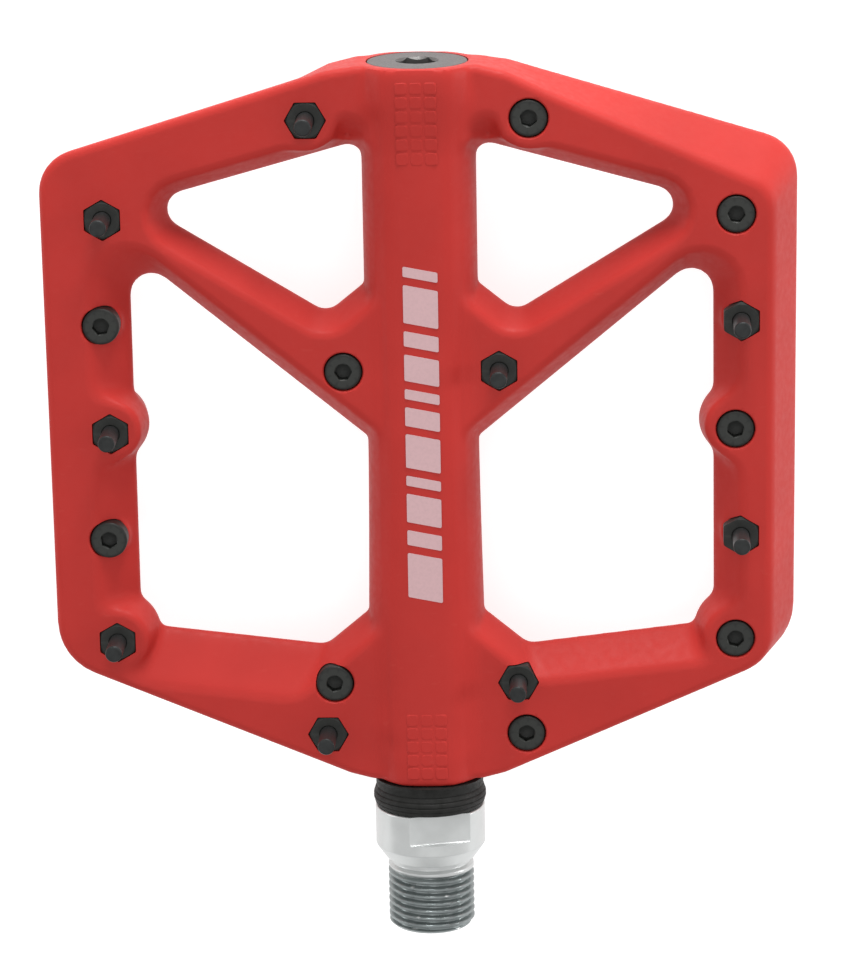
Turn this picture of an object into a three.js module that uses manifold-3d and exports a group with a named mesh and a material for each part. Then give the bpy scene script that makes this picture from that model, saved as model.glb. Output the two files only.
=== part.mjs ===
// Flat pedal: a moulded platform turning on a steel spindle, with eighteen bolt-through grip pins.
// Millimetres. Y is the spindle axis, from the crank thread (-Y) to the end cap (+Y).
// X is the width of the platform and Z its normal. The origin is the centre of the whole pedal's box.
// Half a turn about Y brings the platform back onto itself, so either face can be the upper one.
import * as THREE from "three";
import { mergeVertices } from "three/addons/utils/BufferGeometryUtils.js";
import Module from "manifold-3d";

const wasm = await Module();
wasm.setup();

// ---------------------------------------------------------------- driving dimensions

const FACE_Z = 6.0; // the two faces of the frame are 12 mm apart
const LIP = 2.5; // height of the square part of the outer edge, beside the long chamfer
const CUT_PAST = 0.5; // how far a cutter runs past the surface it opens

// Right half of the frame's outline. "wide" is the face that reaches furthest out on this side,
// "narrow" is the opposite face, where the long chamfer along the outer edge starts.
const OUTLINE = {
  wide: {
    crown: [8.6, 72.8],
    shoulder: [13.5, 72.0],
    elbow: [19.7, 70.1],
    outboardCorner: [61.0, 57.7, 7.0],
    inboardCorner: [60.5, -25.0, 8.0],
    foot: [13.3, -44.4],
    heel: [9.0, -46.3],
  },
  narrow: {
    crown: [8.6, 71.6],
    shoulder: [13.5, 70.7],
    elbow: [19.7, 68.75],
    outboardCorner: [56.8, 52.4, 5.0],
    inboardCorner: [56.4, -25.8, 7.0],
    foot: [13.3, -44.4],
    heel: [9.0, -46.3],
  },
};

// Windows in the right half, as corners [x, y, radius] at mid thickness. Their walls lean outwards
// from there to both faces: "slope" is how far each side, from its corner to the next, has moved
// back at the face, on the wide and on the narrow side of the chamfered edge.
const OUTBOARD_WINDOW = {
  corners: [
    [9.0, 60.0, 2.4],
    [9.0, 36.9, 1.0],
    [15.3, 31.8, 3.0],
    [45.3, 50.06, 3.05],
  ],
  slope: { wide: [3, 3, 3, 3], narrow: [3, 3, 3, 3] },
};
const INBOARD_WINDOW = {
  corners: [
    [9.0, 10.9, 0.6],
    [9.0, -18.0, 1.0],
    [16.6, -24.3, 3.0],
    [47.15, -20.6, 2.0],
    [47.15, 42.55, 3.5],
  ],
  slope: { wide: [3, 3, 8.4, 6.3, 3], narrow: [3, 3, 5.2, 4.6, 3] },
};

// The central tube: radius at places along the axis, with a flat along the top and the bottom.
const TUBE = {
  stations: [
    [9.55, -47.0],
    [9.55, -18.0],
    [8.95, 9.0],
    [9.2, 37.0],
    [9.2, 72.95],
  ],
  flatZ: 8.3,
};
const BUSH_SEAT = { radius: 7.5, end: -30.8 };
const CORE_BORE = 6.6;
const BEARING_SEAT = { radius: 8.0, start: 55.0 };
const CAP_SEAT = { radius: 8.25, start: 69.8 };

// Grip pins, from the outboard end inwards: place in the right half, boss radius at mid thickness
// (0 where the wall around is wide enough), which side shows the tip on the +Z face, and whether
// the nut's corners point along X.
const PINS = [
  { x: 17.8, y: 64.4, boss: 0, tipSide: -1, cornersAlongX: true },
  { x: 50.8, y: 48.55, boss: 0, tipSide: -1, cornersAlongX: false },
  { x: 51.6, y: 31.05, boss: 0, tipSide: 1, cornersAlongX: false },
  { x: 50.65, y: 13.2, boss: 5.4, tipSide: -1, cornersAlongX: false },
  { x: 51.5, y: -4.7, boss: 0, tipSide: 1, cornersAlongX: false },
  { x: 50.65, y: -22.1, boss: 7.0, tipSide: -1, cornersAlongX: false },
  { x: 12.6, y: 23.2, boss: 0, tipSide: 1, cornersAlongX: false },
  { x: 15.1, y: -29.4, boss: 0, tipSide: 1, cornersAlongX: true },
  { x: 16.35, y: -38.15, boss: 0, tipSide: -1, cornersAlongX: true },
];
const BOSS_TOP = 4.6;
const SEAT_POST = { radius: 3.7, top: 3.0 }; // post under each head and nut, where the wall slopes away
const SCREW = {
  headRadius: 3.0,
  headHeight: 3.0,
  shankRadius: 1.35,
  length: 15.8,
  tipRound: 0.6,
  socketRadius: 1.45,
  socketDepth: 1.6,
};
const NUT = { acrossFlats: 5.6, height: 2.4, bore: 1.47 };
const SCREW_HOLE = 1.6;
const SEAT_GAP = 0.15; // round a head or nut in its pocket
const FLOOR_GAP = 0.05; // under a head or nut

const SPINDLE = {
  threadEnd: -72.95,
  threadRadius: 7.0,
  threadChamfer: 1.15,
  centreHole: { radius: 1.5, depth: 1.5 },
  reliefRadius: 6.55,
  reliefStart: -62.0,
  shoulder: -60.9,
  shoulderRadius: 7.85,
  neckCone: { radius: 7.05, length: 0.3 }, // keeps the shoulder's flat ring clear of the thread
  collarRadius: 9.05,
  collarChamferStart: -58.5,
  collarTop: -52.4,
  sealNeck: 7.0,
  sealNeckEnd: -47.2,
  journal: 6.0,
  journalEnd: -29.0,
  core: 5.0,
  coreStart: -26.0,
  bearingNeck: 3.95,
  bearingShoulder: 55.0,
  nutThread: 3.4,
  nutThreadStart: 60.1,
  end: 66.4,
  endChamfer: 0.6,
};
const WRENCH_FLATS = { across: 15.0, end: -56.8, turn: THREE.MathUtils.degToRad(14) };

const SEAL = {
  inner: 7.12,
  outside: [
    [9.0, -47.05],
    [8.9, -48.8],
    [9.35, -50.2],
    [9.35, -51.0],
    [8.8, -52.3],
  ],
};
const BUSH = { inner: 6.1, outer: 7.4, start: -46.9, end: -31.0 };

const BEARING = {
  middle: 57.55,
  width: 4.9,
  bore: 4.05,
  innerLand: 5.2,
  outerLand: 6.8,
  outer: 7.9,
  pitch: 6.0,
  ballRadius: 1.15,
  grooveRadius: 1.27,
  balls: 9,
};
const CAGE = { inner: 5.65, outer: 6.35, width: 3.2, pocket: 1.3 };
const SHIELD = { inner: 5.35, outer: 6.72, thickness: 0.3, inset: 0.1 };
const WASHER = { bore: 3.55, outer: 5.9, start: 60.1, thickness: 0.8 };
const LOCK_NUT = { acrossFlats: 10.5, bore: 3.6, start: 61.0, height: 4.0 };
const CAP = {
  rim: 8.1,
  rimThickness: 1.5,
  skirtOuter: 7.85,
  skirtInner: 6.7,
  skirtEnd: 60.25,
  cavityEnd: 68.1,
  socketAcrossFlats: 6.0,
  socketDepth: 3.6,
  socketChamfer: 0.45,
  grooveRadius: 7.1,
  grooveStart: 70.0,
  outerEdge: 0.3,
};
const O_RING = { major: 7.62, minor: 0.45 };

const TURNED_SEGMENTS = 32;
const SMALL_SEGMENTS = 12;
const CORNER_STEPS = 4;

// ---------------------------------------------------------------- materials

const material = (colour, roughness, metalness) =>
  new THREE.MeshStandardMaterial({ color: colour, roughness, metalness });
const redNylon = material(0xc8342e, 0.5, 0.0);
const blackSteel = material(0x2b2c2d, 0.5, 0.8);
const chromedSteel = material(0xd4d6d8, 0.15, 1.0);
const bearingSteel = material(0xb4b6b8, 0.25, 1.0);
const greyAluminium = material(0x6c6e70, 0.4, 0.9);
const blackRubber = material(0x161616, 0.8, 0.0);
const darkPolymer = material(0x3a3a38, 0.6, 0.0);

// ---------------------------------------------------------------- solids

// A closed geometry as a solid that can be cut and joined.
function solidOf(geometry) {
  const bare = geometry.index ? geometry.toNonIndexed() : geometry.clone();
  bare.deleteAttribute("normal");
  bare.deleteAttribute("uv");
  const merged = mergeVertices(bare, 1e-4);
  return new wasm.Manifold(
    new wasm.Mesh({
      numProp: 3,
      vertProperties: merged.attributes.position.array,
      triVerts: new Uint32Array(merged.index.array),
    }),
  );
}

function geometryOf(solid) {
  const mesh = solid.getMesh();
  const geometry = new THREE.BufferGeometry();
  geometry.setAttribute("position", new THREE.BufferAttribute(mesh.vertProperties, 3));
  geometry.setIndex(new THREE.BufferAttribute(mesh.triVerts, 1));
  return geometry;
}

const joined = (solids) => solids.reduce((sum, next) => sum.add(next));

// Twice the signed area of a loop of [x, y] points: positive when it runs anticlockwise.
function loopArea(loop) {
  return loop.reduce((sum, [x, y], i) => {
    const [nextX, nextY] = loop[(i + 1) % loop.length];
    return sum + x * nextY - nextX * y;
  }, 0);
}

// A turned piece about the Y axis. The profile is a list of [radius, y], on the axis at both ends
// or closed on itself.
function turned(profile, segments = TURNED_SEGMENTS) {
  const points = loopArea(profile) > 0 ? profile : [...profile].reverse();
  return new THREE.LatheGeometry(
    points.map(([radius, y]) => new THREE.Vector2(radius, y)),
    segments,
  );
}

const ring = (inner, outer, start, end, segments) =>
  turned([[inner, start], [outer, start], [outer, end], [inner, end], [inner, start]], segments);

const rod = (radius, start, end, segments) =>
  turned([[0, start], [radius, start], [radius, end], [0, end]], segments);

// A hexagonal prism along Y, with two corners on the X axis.
function hexPrism(acrossFlats, start, end) {
  return new THREE.CylinderGeometry(acrossFlats / Math.sqrt(3), acrossFlats / Math.sqrt(3), end - start, 6)
    .rotateY(Math.PI / 2)
    .translate(0, (start + end) / 2, 0);
}

// Turns a piece made along +Y to stand along +Z.
const upright = (geometry) => geometry.rotateX(Math.PI / 2);

// A solid through a stack of loops [z, points], each with the same number of [x, y] points.
function lofted(levels) {
  const count = levels[0][1].length;
  const positions = levels.flatMap(([z, loop]) => loop.flatMap(([x, y]) => [x, y, z]));
  const indices = [];
  for (let level = 0; level < levels.length - 1; level++) {
    for (let i = 0; i < count; i++) {
      const next = (i + 1) % count;
      const low = level * count;
      const high = low + count;
      indices.push(low + i, low + next, high + next, low + i, high + next, high + i);
    }
  }
  const capOf = (loop) =>
    THREE.ShapeUtils.triangulateShape(loop.map(([x, y]) => new THREE.Vector2(x, y)), []);
  const top = (levels.length - 1) * count;
  capOf(levels[0][1]).forEach(([a, b, c]) => indices.push(a, c, b));
  capOf(levels.at(-1)[1]).forEach(([a, b, c]) => indices.push(top + a, top + b, top + c));
  const geometry = new THREE.BufferGeometry();
  geometry.setAttribute("position", new THREE.Float32BufferAttribute(positions, 3));
  geometry.setIndex(indices);
  return geometry;
}

// ---------------------------------------------------------------- outlines

const lerp = THREE.MathUtils.lerp;
const blend = (a, b, t) => a.map((value, i) => lerp(value, b[i], t));

// The points of a rounded corner [x, y, radius] between two neighbours; a corner without a radius
// is one point.
function cornerPoints(before, corner, after) {
  const at = new THREE.Vector2(corner[0], corner[1]);
  const radius = corner[2] ?? 0;
  if (radius === 0) return [[at.x, at.y]];
  const toBefore = new THREE.Vector2(before[0], before[1]).sub(at).normalize();
  const toAfter = new THREE.Vector2(after[0], after[1]).sub(at).normalize();
  const half = Math.acos(THREE.MathUtils.clamp(toBefore.dot(toAfter), -1, 1)) / 2;
  const centre = toBefore.clone().add(toAfter).normalize().multiplyScalar(radius / Math.sin(half)).add(at);
  const reach = radius / Math.tan(half);
  const start = toBefore.multiplyScalar(reach).add(at).sub(centre);
  const end = toAfter.multiplyScalar(reach).add(at).sub(centre);
  const startAngle = Math.atan2(start.y, start.x);
  let sweep = Math.atan2(end.y, end.x) - startAngle;
  if (sweep > Math.PI) sweep -= 2 * Math.PI;
  if (sweep < -Math.PI) sweep += 2 * Math.PI;
  return Array.from({ length: CORNER_STEPS + 1 }, (_, i) => {
    const angle = startAngle + (sweep * i) / CORNER_STEPS;
    return [centre.x + radius * Math.cos(angle), centre.y + radius * Math.sin(angle)];
  });
}

function roundedLoop(corners) {
  return corners.flatMap((corner, i) =>
    cornerPoints(corners.at(i - 1), corner, corners[(i + 1) % corners.length]),
  );
}

// Moves each side of an anticlockwise loop outwards by its own distance. Side i runs from corner i
// to the next, and each corner's radius grows by the smaller of its two sides' distances.
function movedOut(corners, distances) {
  const count = corners.length;
  const sides = corners.map((corner, i) => {
    const next = corners[(i + 1) % count];
    const along = new THREE.Vector2(next[0] - corner[0], next[1] - corner[1]).normalize();
    const out = new THREE.Vector2(along.y, -along.x);
    return { along, from: new THREE.Vector2(corner[0], corner[1]).addScaledVector(out, distances[i]) };
  });
  return corners.map((corner, i) => {
    const one = sides.at(i - 1);
    const two = sides[i];
    const gap = two.from.clone().sub(one.from);
    const step = gap.cross(two.along) / one.along.cross(two.along);
    const at = one.from.clone().addScaledVector(one.along, step);
    const grow = Math.min(distances.at(i - 1), distances[i]);
    return [at.x, at.y, corner[2] + grow];
  });
}

const mirrorX = (loop) => loop.map(([x, y]) => [-x, y]).reverse();

// Right half of the outline, from the inboard end outwards. "wide" is 1 where the frame is widest.
function halfOutline(wide) {
  const between = (name) => blend(OUTLINE.narrow[name], OUTLINE.wide[name], wide);
  const foot = between("foot");
  const inboard = between("inboardCorner");
  const outboard = between("outboardCorner");
  const elbow = between("elbow");
  return [
    between("heel"),
    foot,
    ...cornerPoints(foot, inboard, outboard),
    ...cornerPoints(inboard, outboard, elbow),
    elbow,
    between("shoulder"),
    between("crown"),
  ];
}

// ---------------------------------------------------------------- the platform

// How wide the right half is at a height: the chamfer covers all but the lip.
const widthAt = (z) => THREE.MathUtils.clamp((FACE_Z - z) / (2 * FACE_Z - LIP), 0, 1);

function frameSlab() {
  const heights = [-FACE_Z, LIP - FACE_Z, FACE_Z - LIP, FACE_Z];
  return solidOf(
    lofted(heights.map((z) => [z, [...halfOutline(widthAt(z)), ...mirrorX(halfOutline(widthAt(-z)))]])),
  );
}

// A window cutter for the right half; the left one is the same piece turned over about Y.
function windowCutter({ corners, slope }) {
  const reach = (FACE_Z + CUT_PAST) / FACE_Z;
  const loopAt = (distances) => roundedLoop(movedOut(corners, distances.map((d) => d * reach)));
  return lofted([
    [-FACE_Z - CUT_PAST, loopAt(slope.wide)],
    [0, roundedLoop(corners)],
    [FACE_Z + CUT_PAST, loopAt(slope.narrow)],
  ]);
}

const turnedOver = (geometry) => geometry.clone().rotateY(Math.PI);

function windowCutters() {
  return joined(
    [OUTBOARD_WINDOW, INBOARD_WINDOW].flatMap((shape) => {
      const cutter = windowCutter(shape);
      return [solidOf(cutter), solidOf(turnedOver(cutter))];
    }),
  );
}

function tubeBody() {
  const first = TUBE.stations[0];
  const last = TUBE.stations.at(-1);
  const round = solidOf(turned([[0, first[1]], ...TUBE.stations, [0, last[1]]]));
  const length = last[1] - first[1];
  const flats = new THREE.BoxGeometry(4 * last[0], length, 2 * TUBE.flatZ);
  return round.intersect(solidOf(flats.translate(0, (first[1] + last[1]) / 2, 0)));
}

// A boss that bulges into the window beside a pin, widest at mid thickness.
function boss(radius) {
  return upright(
    turned([[0, -FACE_Z], [BOSS_TOP, -FACE_Z], [radius, 0], [BOSS_TOP, FACE_Z], [0, FACE_Z]], 24),
  );
}

const seatPost = () => upright(rod(SEAT_POST.radius, -SEAT_POST.top, SEAT_POST.top, 20));

function bossesAndPosts() {
  return joined(
    PINS.flatMap(({ x, y, boss: radius }) =>
      [-1, 1].map((side) => solidOf((radius > 0 ? boss(radius) : seatPost()).translate(side * x, y, 0))),
    ),
  );
}

// Everything one pin takes out of the frame: the hole, the counterbore and the nut's pocket, for a
// pin with its tip towards +Z.
function pinCutter(cornersAlongX) {
  const past = FACE_Z + CUT_PAST;
  const headFloor = SCREW.headHeight + FLOOR_GAP - FACE_Z;
  const nutFloor = FACE_Z - NUT.height - FLOOR_GAP;
  const hole = rod(SCREW_HOLE, -past, past, 12);
  const counterbore = rod(SCREW.headRadius + SEAT_GAP, -past, headFloor, SMALL_SEGMENTS);
  const pocket = hexPrism(NUT.acrossFlats + 2 * SEAT_GAP, nutFloor, past);
  if (!cornersAlongX) pocket.rotateY(Math.PI / 2);
  return joined([hole, counterbore, pocket].map((piece) => solidOf(upright(piece))));
}

function pinCutters() {
  return joined(
    PINS.flatMap((pin) =>
      [-1, 1].map((side) => {
        const cutter = geometryOf(pinCutter(pin.cornersAlongX));
        if (side !== pin.tipSide) cutter.rotateX(Math.PI);
        return solidOf(cutter.translate(side * pin.x, pin.y, 0));
      }),
    ),
  );
}

function boreCutter() {
  const first = TUBE.stations[0][1] - CUT_PAST;
  const last = TUBE.stations.at(-1)[1] + CUT_PAST;
  return solidOf(
    turned([
      [0, first],
      [BUSH_SEAT.radius, first],
      [BUSH_SEAT.radius, BUSH_SEAT.end],
      [CORE_BORE, BUSH_SEAT.end],
      [CORE_BORE, BEARING_SEAT.start],
      [BEARING_SEAT.radius, BEARING_SEAT.start],
      [BEARING_SEAT.radius, CAP_SEAT.start],
      [CAP_SEAT.radius, CAP_SEAT.start],
      [CAP_SEAT.radius, last],
      [0, last],
    ]),
  );
}

function platform() {
  const frame = frameSlab().subtract(windowCutters());
  const whole = joined([frame, tubeBody(), bossesAndPosts()]);
  return geometryOf(whole.subtract(boreCutter()).subtract(pinCutters()));
}

// ---------------------------------------------------------------- grip pins

// A screw with its head flush with the -Z face and its tip standing out of the +Z face.
function pinScrew() {
  const { headRadius, headHeight, shankRadius, length, tipRound, socketRadius, socketDepth } = SCREW;
  const headTop = -FACE_Z;
  const seat = headTop + headHeight;
  const tip = seat + length;
  const edge = 0.25;
  const profile = [
    [0, headTop],
    [headRadius - edge, headTop],
    [headRadius, headTop + edge],
    [headRadius, seat],
    [shankRadius, seat],
    [shankRadius, tip - tipRound],
    [shankRadius - tipRound, tip],
    [0, tip],
  ];
  const socket = new THREE.CylinderGeometry(socketRadius, socketRadius, socketDepth + CUT_PAST, 6);
  socket.translate(0, headTop + (socketDepth - CUT_PAST) / 2, 0);
  return upright(geometryOf(solidOf(turned(profile, SMALL_SEGMENTS)).subtract(solidOf(socket))));
}

// A hexagonal nut along Y, two of its corners on the X axis.
function hexNut({ acrossFlats, bore, height }, start) {
  const hole = rod(bore, start - CUT_PAST, start + height + CUT_PAST, SMALL_SEGMENTS);
  return geometryOf(solidOf(hexPrism(acrossFlats, start, start + height)).subtract(solidOf(hole)));
}

function addPins(group) {
  const screw = pinScrew();
  const nut = upright(hexNut(NUT, FACE_Z - NUT.height));
  [-1, 1].forEach((side) =>
    PINS.forEach((pin, i) => {
      const number = String(i + 1 + (side > 0 ? PINS.length : 0)).padStart(2, "0");
      const over = side === pin.tipSide ? 0 : Math.PI;
      const screwMesh = new THREE.Mesh(screw.clone(), blackSteel.clone());
      screwMesh.name = `pin_screw_${number}`;
      const nutGeometry = nut.clone();
      if (!pin.cornersAlongX) nutGeometry.rotateZ(Math.PI / 2);
      const nutMesh = new THREE.Mesh(nutGeometry, blackSteel.clone());
      nutMesh.name = `pin_nut_${number}`;
      [screwMesh, nutMesh].forEach((mesh) => {
        mesh.rotation.x = over;
        mesh.position.set(side * pin.x, pin.y, 0);
        group.add(mesh);
      });
    }),
  );
}

// ---------------------------------------------------------------- the spindle

function spindle() {
  const s = SPINDLE;
  const body = turned([
    [0, s.threadEnd + s.centreHole.depth],
    [s.centreHole.radius, s.threadEnd],
    [s.threadRadius - s.threadChamfer, s.threadEnd],
    [s.threadRadius, s.threadEnd + s.threadChamfer],
    [s.threadRadius, s.reliefStart],
    [s.reliefRadius, s.reliefStart],
    [s.reliefRadius, s.shoulder - s.neckCone.length],
    [s.neckCone.radius, s.shoulder],
    [s.shoulderRadius, s.shoulder],
    [s.collarRadius, s.collarChamferStart],
    [s.collarRadius, s.collarTop],
    [s.sealNeck, s.collarTop],
    [s.sealNeck, s.sealNeckEnd],
    [s.journal, s.sealNeckEnd],
    [s.journal, s.journalEnd],
    [s.core, s.coreStart],
    [s.core, s.bearingShoulder],
    [s.bearingNeck, s.bearingShoulder],
    [s.bearingNeck, s.nutThreadStart],
    [s.nutThread, s.nutThreadStart],
    [s.nutThread, s.end - s.endChamfer],
    [s.nutThread - s.endChamfer, s.end],
    [0, s.end],
  ]);
  return geometryOf(wrenchFlats().reduce((solid, cut) => solid.subtract(cut), solidOf(body)));
}

// The two cuts that leave a spanner's width across the collar.
function wrenchFlats() {
  const start = WRENCH_FLATS.end;
  const end = SPINDLE.collarTop + CUT_PAST;
  const depth = SPINDLE.collarRadius;
  return [-1, 1].map((side) => {
    const cut = new THREE.BoxGeometry(2 * SPINDLE.collarRadius + 2, end - start, depth);
    cut.translate(0, (start + end) / 2, side * (WRENCH_FLATS.across / 2 + depth / 2));
    return solidOf(cut.rotateY(WRENCH_FLATS.turn));
  });
}

// ---------------------------------------------------------------- seal, bush and bearing

// A rubber collar between the platform and the spindle's collar, waisted and then bulging.
function seal() {
  const { inner, outside } = SEAL;
  const start = [inner, outside[0][1]];
  return turned([start, ...outside, [inner, outside.at(-1)[1]], start]);
}

// The points of a bearing ring's groove, from one land to the same land across the ball.
function groove(land) {
  const { pitch, grooveRadius, middle } = BEARING;
  const side = Math.sign(land - pitch);
  const half = Math.acos(Math.abs(land - pitch) / grooveRadius);
  const steps = 4;
  return Array.from({ length: steps + 1 }, (_, i) => {
    const angle = lerp(-half, half, i / steps);
    return [pitch + side * grooveRadius * Math.cos(angle), middle + grooveRadius * Math.sin(angle)];
  });
}

function bearingRing(land, far) {
  const start = BEARING.middle - BEARING.width / 2;
  const end = BEARING.middle + BEARING.width / 2;
  return turned([[far, start], [land, start], ...groove(land), [land, end], [far, end], [far, start]]);
}

const ballAngle = (i) => (i * 2 * Math.PI) / BEARING.balls;

function bearingCage() {
  const { inner, outer, width, pocket } = CAGE;
  const { middle, pitch, balls } = BEARING;
  const band = solidOf(ring(inner, outer, middle - width / 2, middle + width / 2));
  const pockets = Array.from({ length: balls }, (_, i) => {
    const drill = new THREE.CylinderGeometry(pocket, pocket, 2 * (outer - inner) + 1, 12);
    return solidOf(drill.rotateZ(Math.PI / 2).translate(pitch, middle, 0).rotateY(-ballAngle(i)));
  });
  return geometryOf(band.subtract(joined(pockets)));
}

const ball = () => new THREE.SphereGeometry(BEARING.ballRadius, 8, 6);

function ballPlace(i) {
  const angle = ballAngle(i);
  return [BEARING.pitch * Math.cos(angle), BEARING.middle, BEARING.pitch * Math.sin(angle)];
}

function shield(side) {
  const face = BEARING.middle + side * (BEARING.width / 2 - SHIELD.inset);
  const other = face - side * SHIELD.thickness;
  return ring(SHIELD.inner, SHIELD.outer, Math.min(face, other), Math.max(face, other));
}

// ---------------------------------------------------------------- lock nut and end cap

// A cup that screws into the outboard end, with a hexagonal socket in its face.
function endCap() {
  const c = CAP;
  const face = TUBE.stations.at(-1)[1];
  const under = face - c.rimThickness;
  const cup = turned([
    [0, c.cavityEnd],
    [c.skirtInner, c.cavityEnd],
    [c.skirtInner, c.skirtEnd],
    [c.skirtOuter, c.skirtEnd],
    [c.skirtOuter, c.grooveStart],
    [c.grooveRadius, c.grooveStart],
    [c.grooveRadius, under],
    [c.rim, under],
    [c.rim, face - c.outerEdge],
    [c.rim - c.outerEdge, face],
    [0, face],
  ]);
  const socket = hexPrism(c.socketAcrossFlats, face - c.socketDepth, face + CUT_PAST);
  const corner = c.socketAcrossFlats / Math.sqrt(3);
  const flat = c.socketAcrossFlats / 2;
  const mouth = turned([
    [0, face - c.socketChamfer],
    [flat, face - c.socketChamfer],
    [corner + c.socketChamfer / 2, face + CUT_PAST],
    [0, face + CUT_PAST],
  ]);
  return geometryOf(solidOf(cup).subtract(solidOf(socket)).subtract(solidOf(mouth)));
}

function oRing() {
  const middle = (CAP.grooveStart + TUBE.stations.at(-1)[1] - CAP.rimThickness) / 2;
  return new THREE.TorusGeometry(O_RING.major, O_RING.minor, 6, TURNED_SEGMENTS)
    .rotateX(Math.PI / 2)
    .translate(0, middle, 0);
}

// ---------------------------------------------------------------- the pedal

const pedal = new THREE.Group();

function add(name, geometry, surface, place = [0, 0, 0]) {
  const mesh = new THREE.Mesh(geometry, surface.clone());
  mesh.name = name;
  mesh.position.set(...place);
  pedal.add(mesh);
}

add("platform", platform(), redNylon);
add("spindle", spindle(), chromedSteel);
add("seal_boot", seal(), blackRubber);
add("inboard_bush", ring(BUSH.inner, BUSH.outer, BUSH.start, BUSH.end), darkPolymer);
add("bearing_outer_ring", bearingRing(BEARING.outerLand, BEARING.outer), bearingSteel);
add("bearing_inner_ring", bearingRing(BEARING.innerLand, BEARING.bore), bearingSteel);
add("bearing_cage", bearingCage(), darkPolymer);
for (let i = 0; i < BEARING.balls; i++) {
  add(`bearing_ball_${i + 1}`, ball(), bearingSteel, ballPlace(i));
}
add("bearing_shield_inner", shield(-1), bearingSteel);
add("bearing_shield_outer", shield(1), bearingSteel);
add(
  "lock_washer",
  ring(WASHER.bore, WASHER.outer, WASHER.start, WASHER.start + WASHER.thickness),
  bearingSteel,
);
add("lock_nut", hexNut(LOCK_NUT, LOCK_NUT.start), bearingSteel);
add("cap_o_ring", oRing(), blackRubber);
add("end_cap", endCap(), greyAluminium);
addPins(pedal);

export default pedal;
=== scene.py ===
import math

import bpy
import numpy as np
from bpy.props import FloatProperty, FloatVectorProperty, PointerProperty
from mathutils import Matrix, Vector


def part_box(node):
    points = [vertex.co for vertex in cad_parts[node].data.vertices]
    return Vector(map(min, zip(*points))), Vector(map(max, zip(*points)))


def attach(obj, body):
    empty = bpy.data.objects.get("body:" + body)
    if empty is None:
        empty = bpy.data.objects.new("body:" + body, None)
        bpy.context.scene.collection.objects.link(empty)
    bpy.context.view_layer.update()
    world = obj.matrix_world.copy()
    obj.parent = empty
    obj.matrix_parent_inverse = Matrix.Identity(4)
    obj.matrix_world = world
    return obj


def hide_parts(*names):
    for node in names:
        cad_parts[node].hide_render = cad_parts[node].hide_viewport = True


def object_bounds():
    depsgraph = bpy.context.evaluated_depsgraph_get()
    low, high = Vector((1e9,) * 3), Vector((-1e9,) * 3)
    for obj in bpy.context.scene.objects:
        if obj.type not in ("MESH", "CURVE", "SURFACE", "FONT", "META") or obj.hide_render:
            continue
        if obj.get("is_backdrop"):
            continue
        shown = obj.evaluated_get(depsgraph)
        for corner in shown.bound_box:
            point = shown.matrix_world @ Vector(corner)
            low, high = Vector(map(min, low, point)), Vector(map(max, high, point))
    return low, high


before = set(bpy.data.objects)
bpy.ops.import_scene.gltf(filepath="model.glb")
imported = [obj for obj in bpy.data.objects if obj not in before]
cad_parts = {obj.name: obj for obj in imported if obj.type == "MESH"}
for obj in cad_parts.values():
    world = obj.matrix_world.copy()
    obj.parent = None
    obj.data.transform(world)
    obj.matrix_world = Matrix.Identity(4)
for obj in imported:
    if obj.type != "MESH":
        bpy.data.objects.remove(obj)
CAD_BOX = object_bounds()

bl_info = {
    "name": "Flat Pedal",
    "version": (1, 0, 0),
    "blender": (4, 5, 0),
    "location": "View3D > Sidebar > Pedal",
    "description": "Dresses the packed flat pedal: moulded platform, grip pins, spindle, bearing and stage",
    "category": "Object",
}

# Lengths in the making of shapes are millimetres, and every mesh is written in metres.
MM = 0.001


# ---------------------------------------------------------------- what the frame says


def cad_points(node):
    """A CAD node's vertices in millimetres, one row each."""
    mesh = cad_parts[node].data
    flat = np.empty(len(mesh.vertices) * 3)
    mesh.vertices.foreach_get("co", flat)
    return flat.reshape(-1, 3) / MM


def turned_span(node):
    """Smallest and largest radius about the spindle axis, and the ends along it."""
    points = cad_points(node)
    radius = np.hypot(points[:, 0], points[:, 2])
    return radius.min(), radius.max(), points[:, 1].min(), points[:, 1].max()


def node_middle(node):
    """The middle of a CAD node's box, in millimetres."""
    low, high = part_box(node)
    return (low + high) / 2 / MM


PIN_COUNT = sum(name.startswith("pin_screw_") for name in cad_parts)
BALL_COUNT = sum(name.startswith("bearing_ball_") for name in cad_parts)
PLATFORM_LOW, PLATFORM_HIGH = (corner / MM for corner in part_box("platform"))
NUT_BOXES = [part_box(f"pin_nut_{index:02d}") for index in range(1, PIN_COUNT + 1)]
FACE_TOP = max(high.z for _, high in NUT_BOXES) / MM
FACE_BOTTOM = min(low.z for low, _ in NUT_BOXES) / MM


def pin_places():
    """Every pin as (number, x, y, which way its tip points, whether its nut's corners lie along X)."""
    places = []
    for index, (nut_low, nut_high) in enumerate(NUT_BOXES, 1):
        number = f"{index:02d}"
        low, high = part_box(f"pin_screw_{number}")
        way = 1 if high.z > -low.z else -1
        nut = nut_high - nut_low
        middle = (low + high) / 2 / MM
        places.append((number, middle.x, middle.y, way, nut.x > nut.y))
    return places


# ---------------------------------------------------------------- mesh helpers


SHARP_ANGLE = 35.0


def mesh_object(name, points, faces, sharp_angle=SHARP_ANGLE):
    """A smooth-shaded mesh object from millimetre points."""
    mesh = bpy.data.meshes.new(name)
    mesh.from_pydata((np.asarray(points, float) * MM).tolist(), [], faces)
    mesh.validate()
    piece = bpy.data.objects.new(name, mesh)
    bpy.context.scene.collection.objects.link(piece)
    shade(piece, sharp_angle)
    return piece


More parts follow.
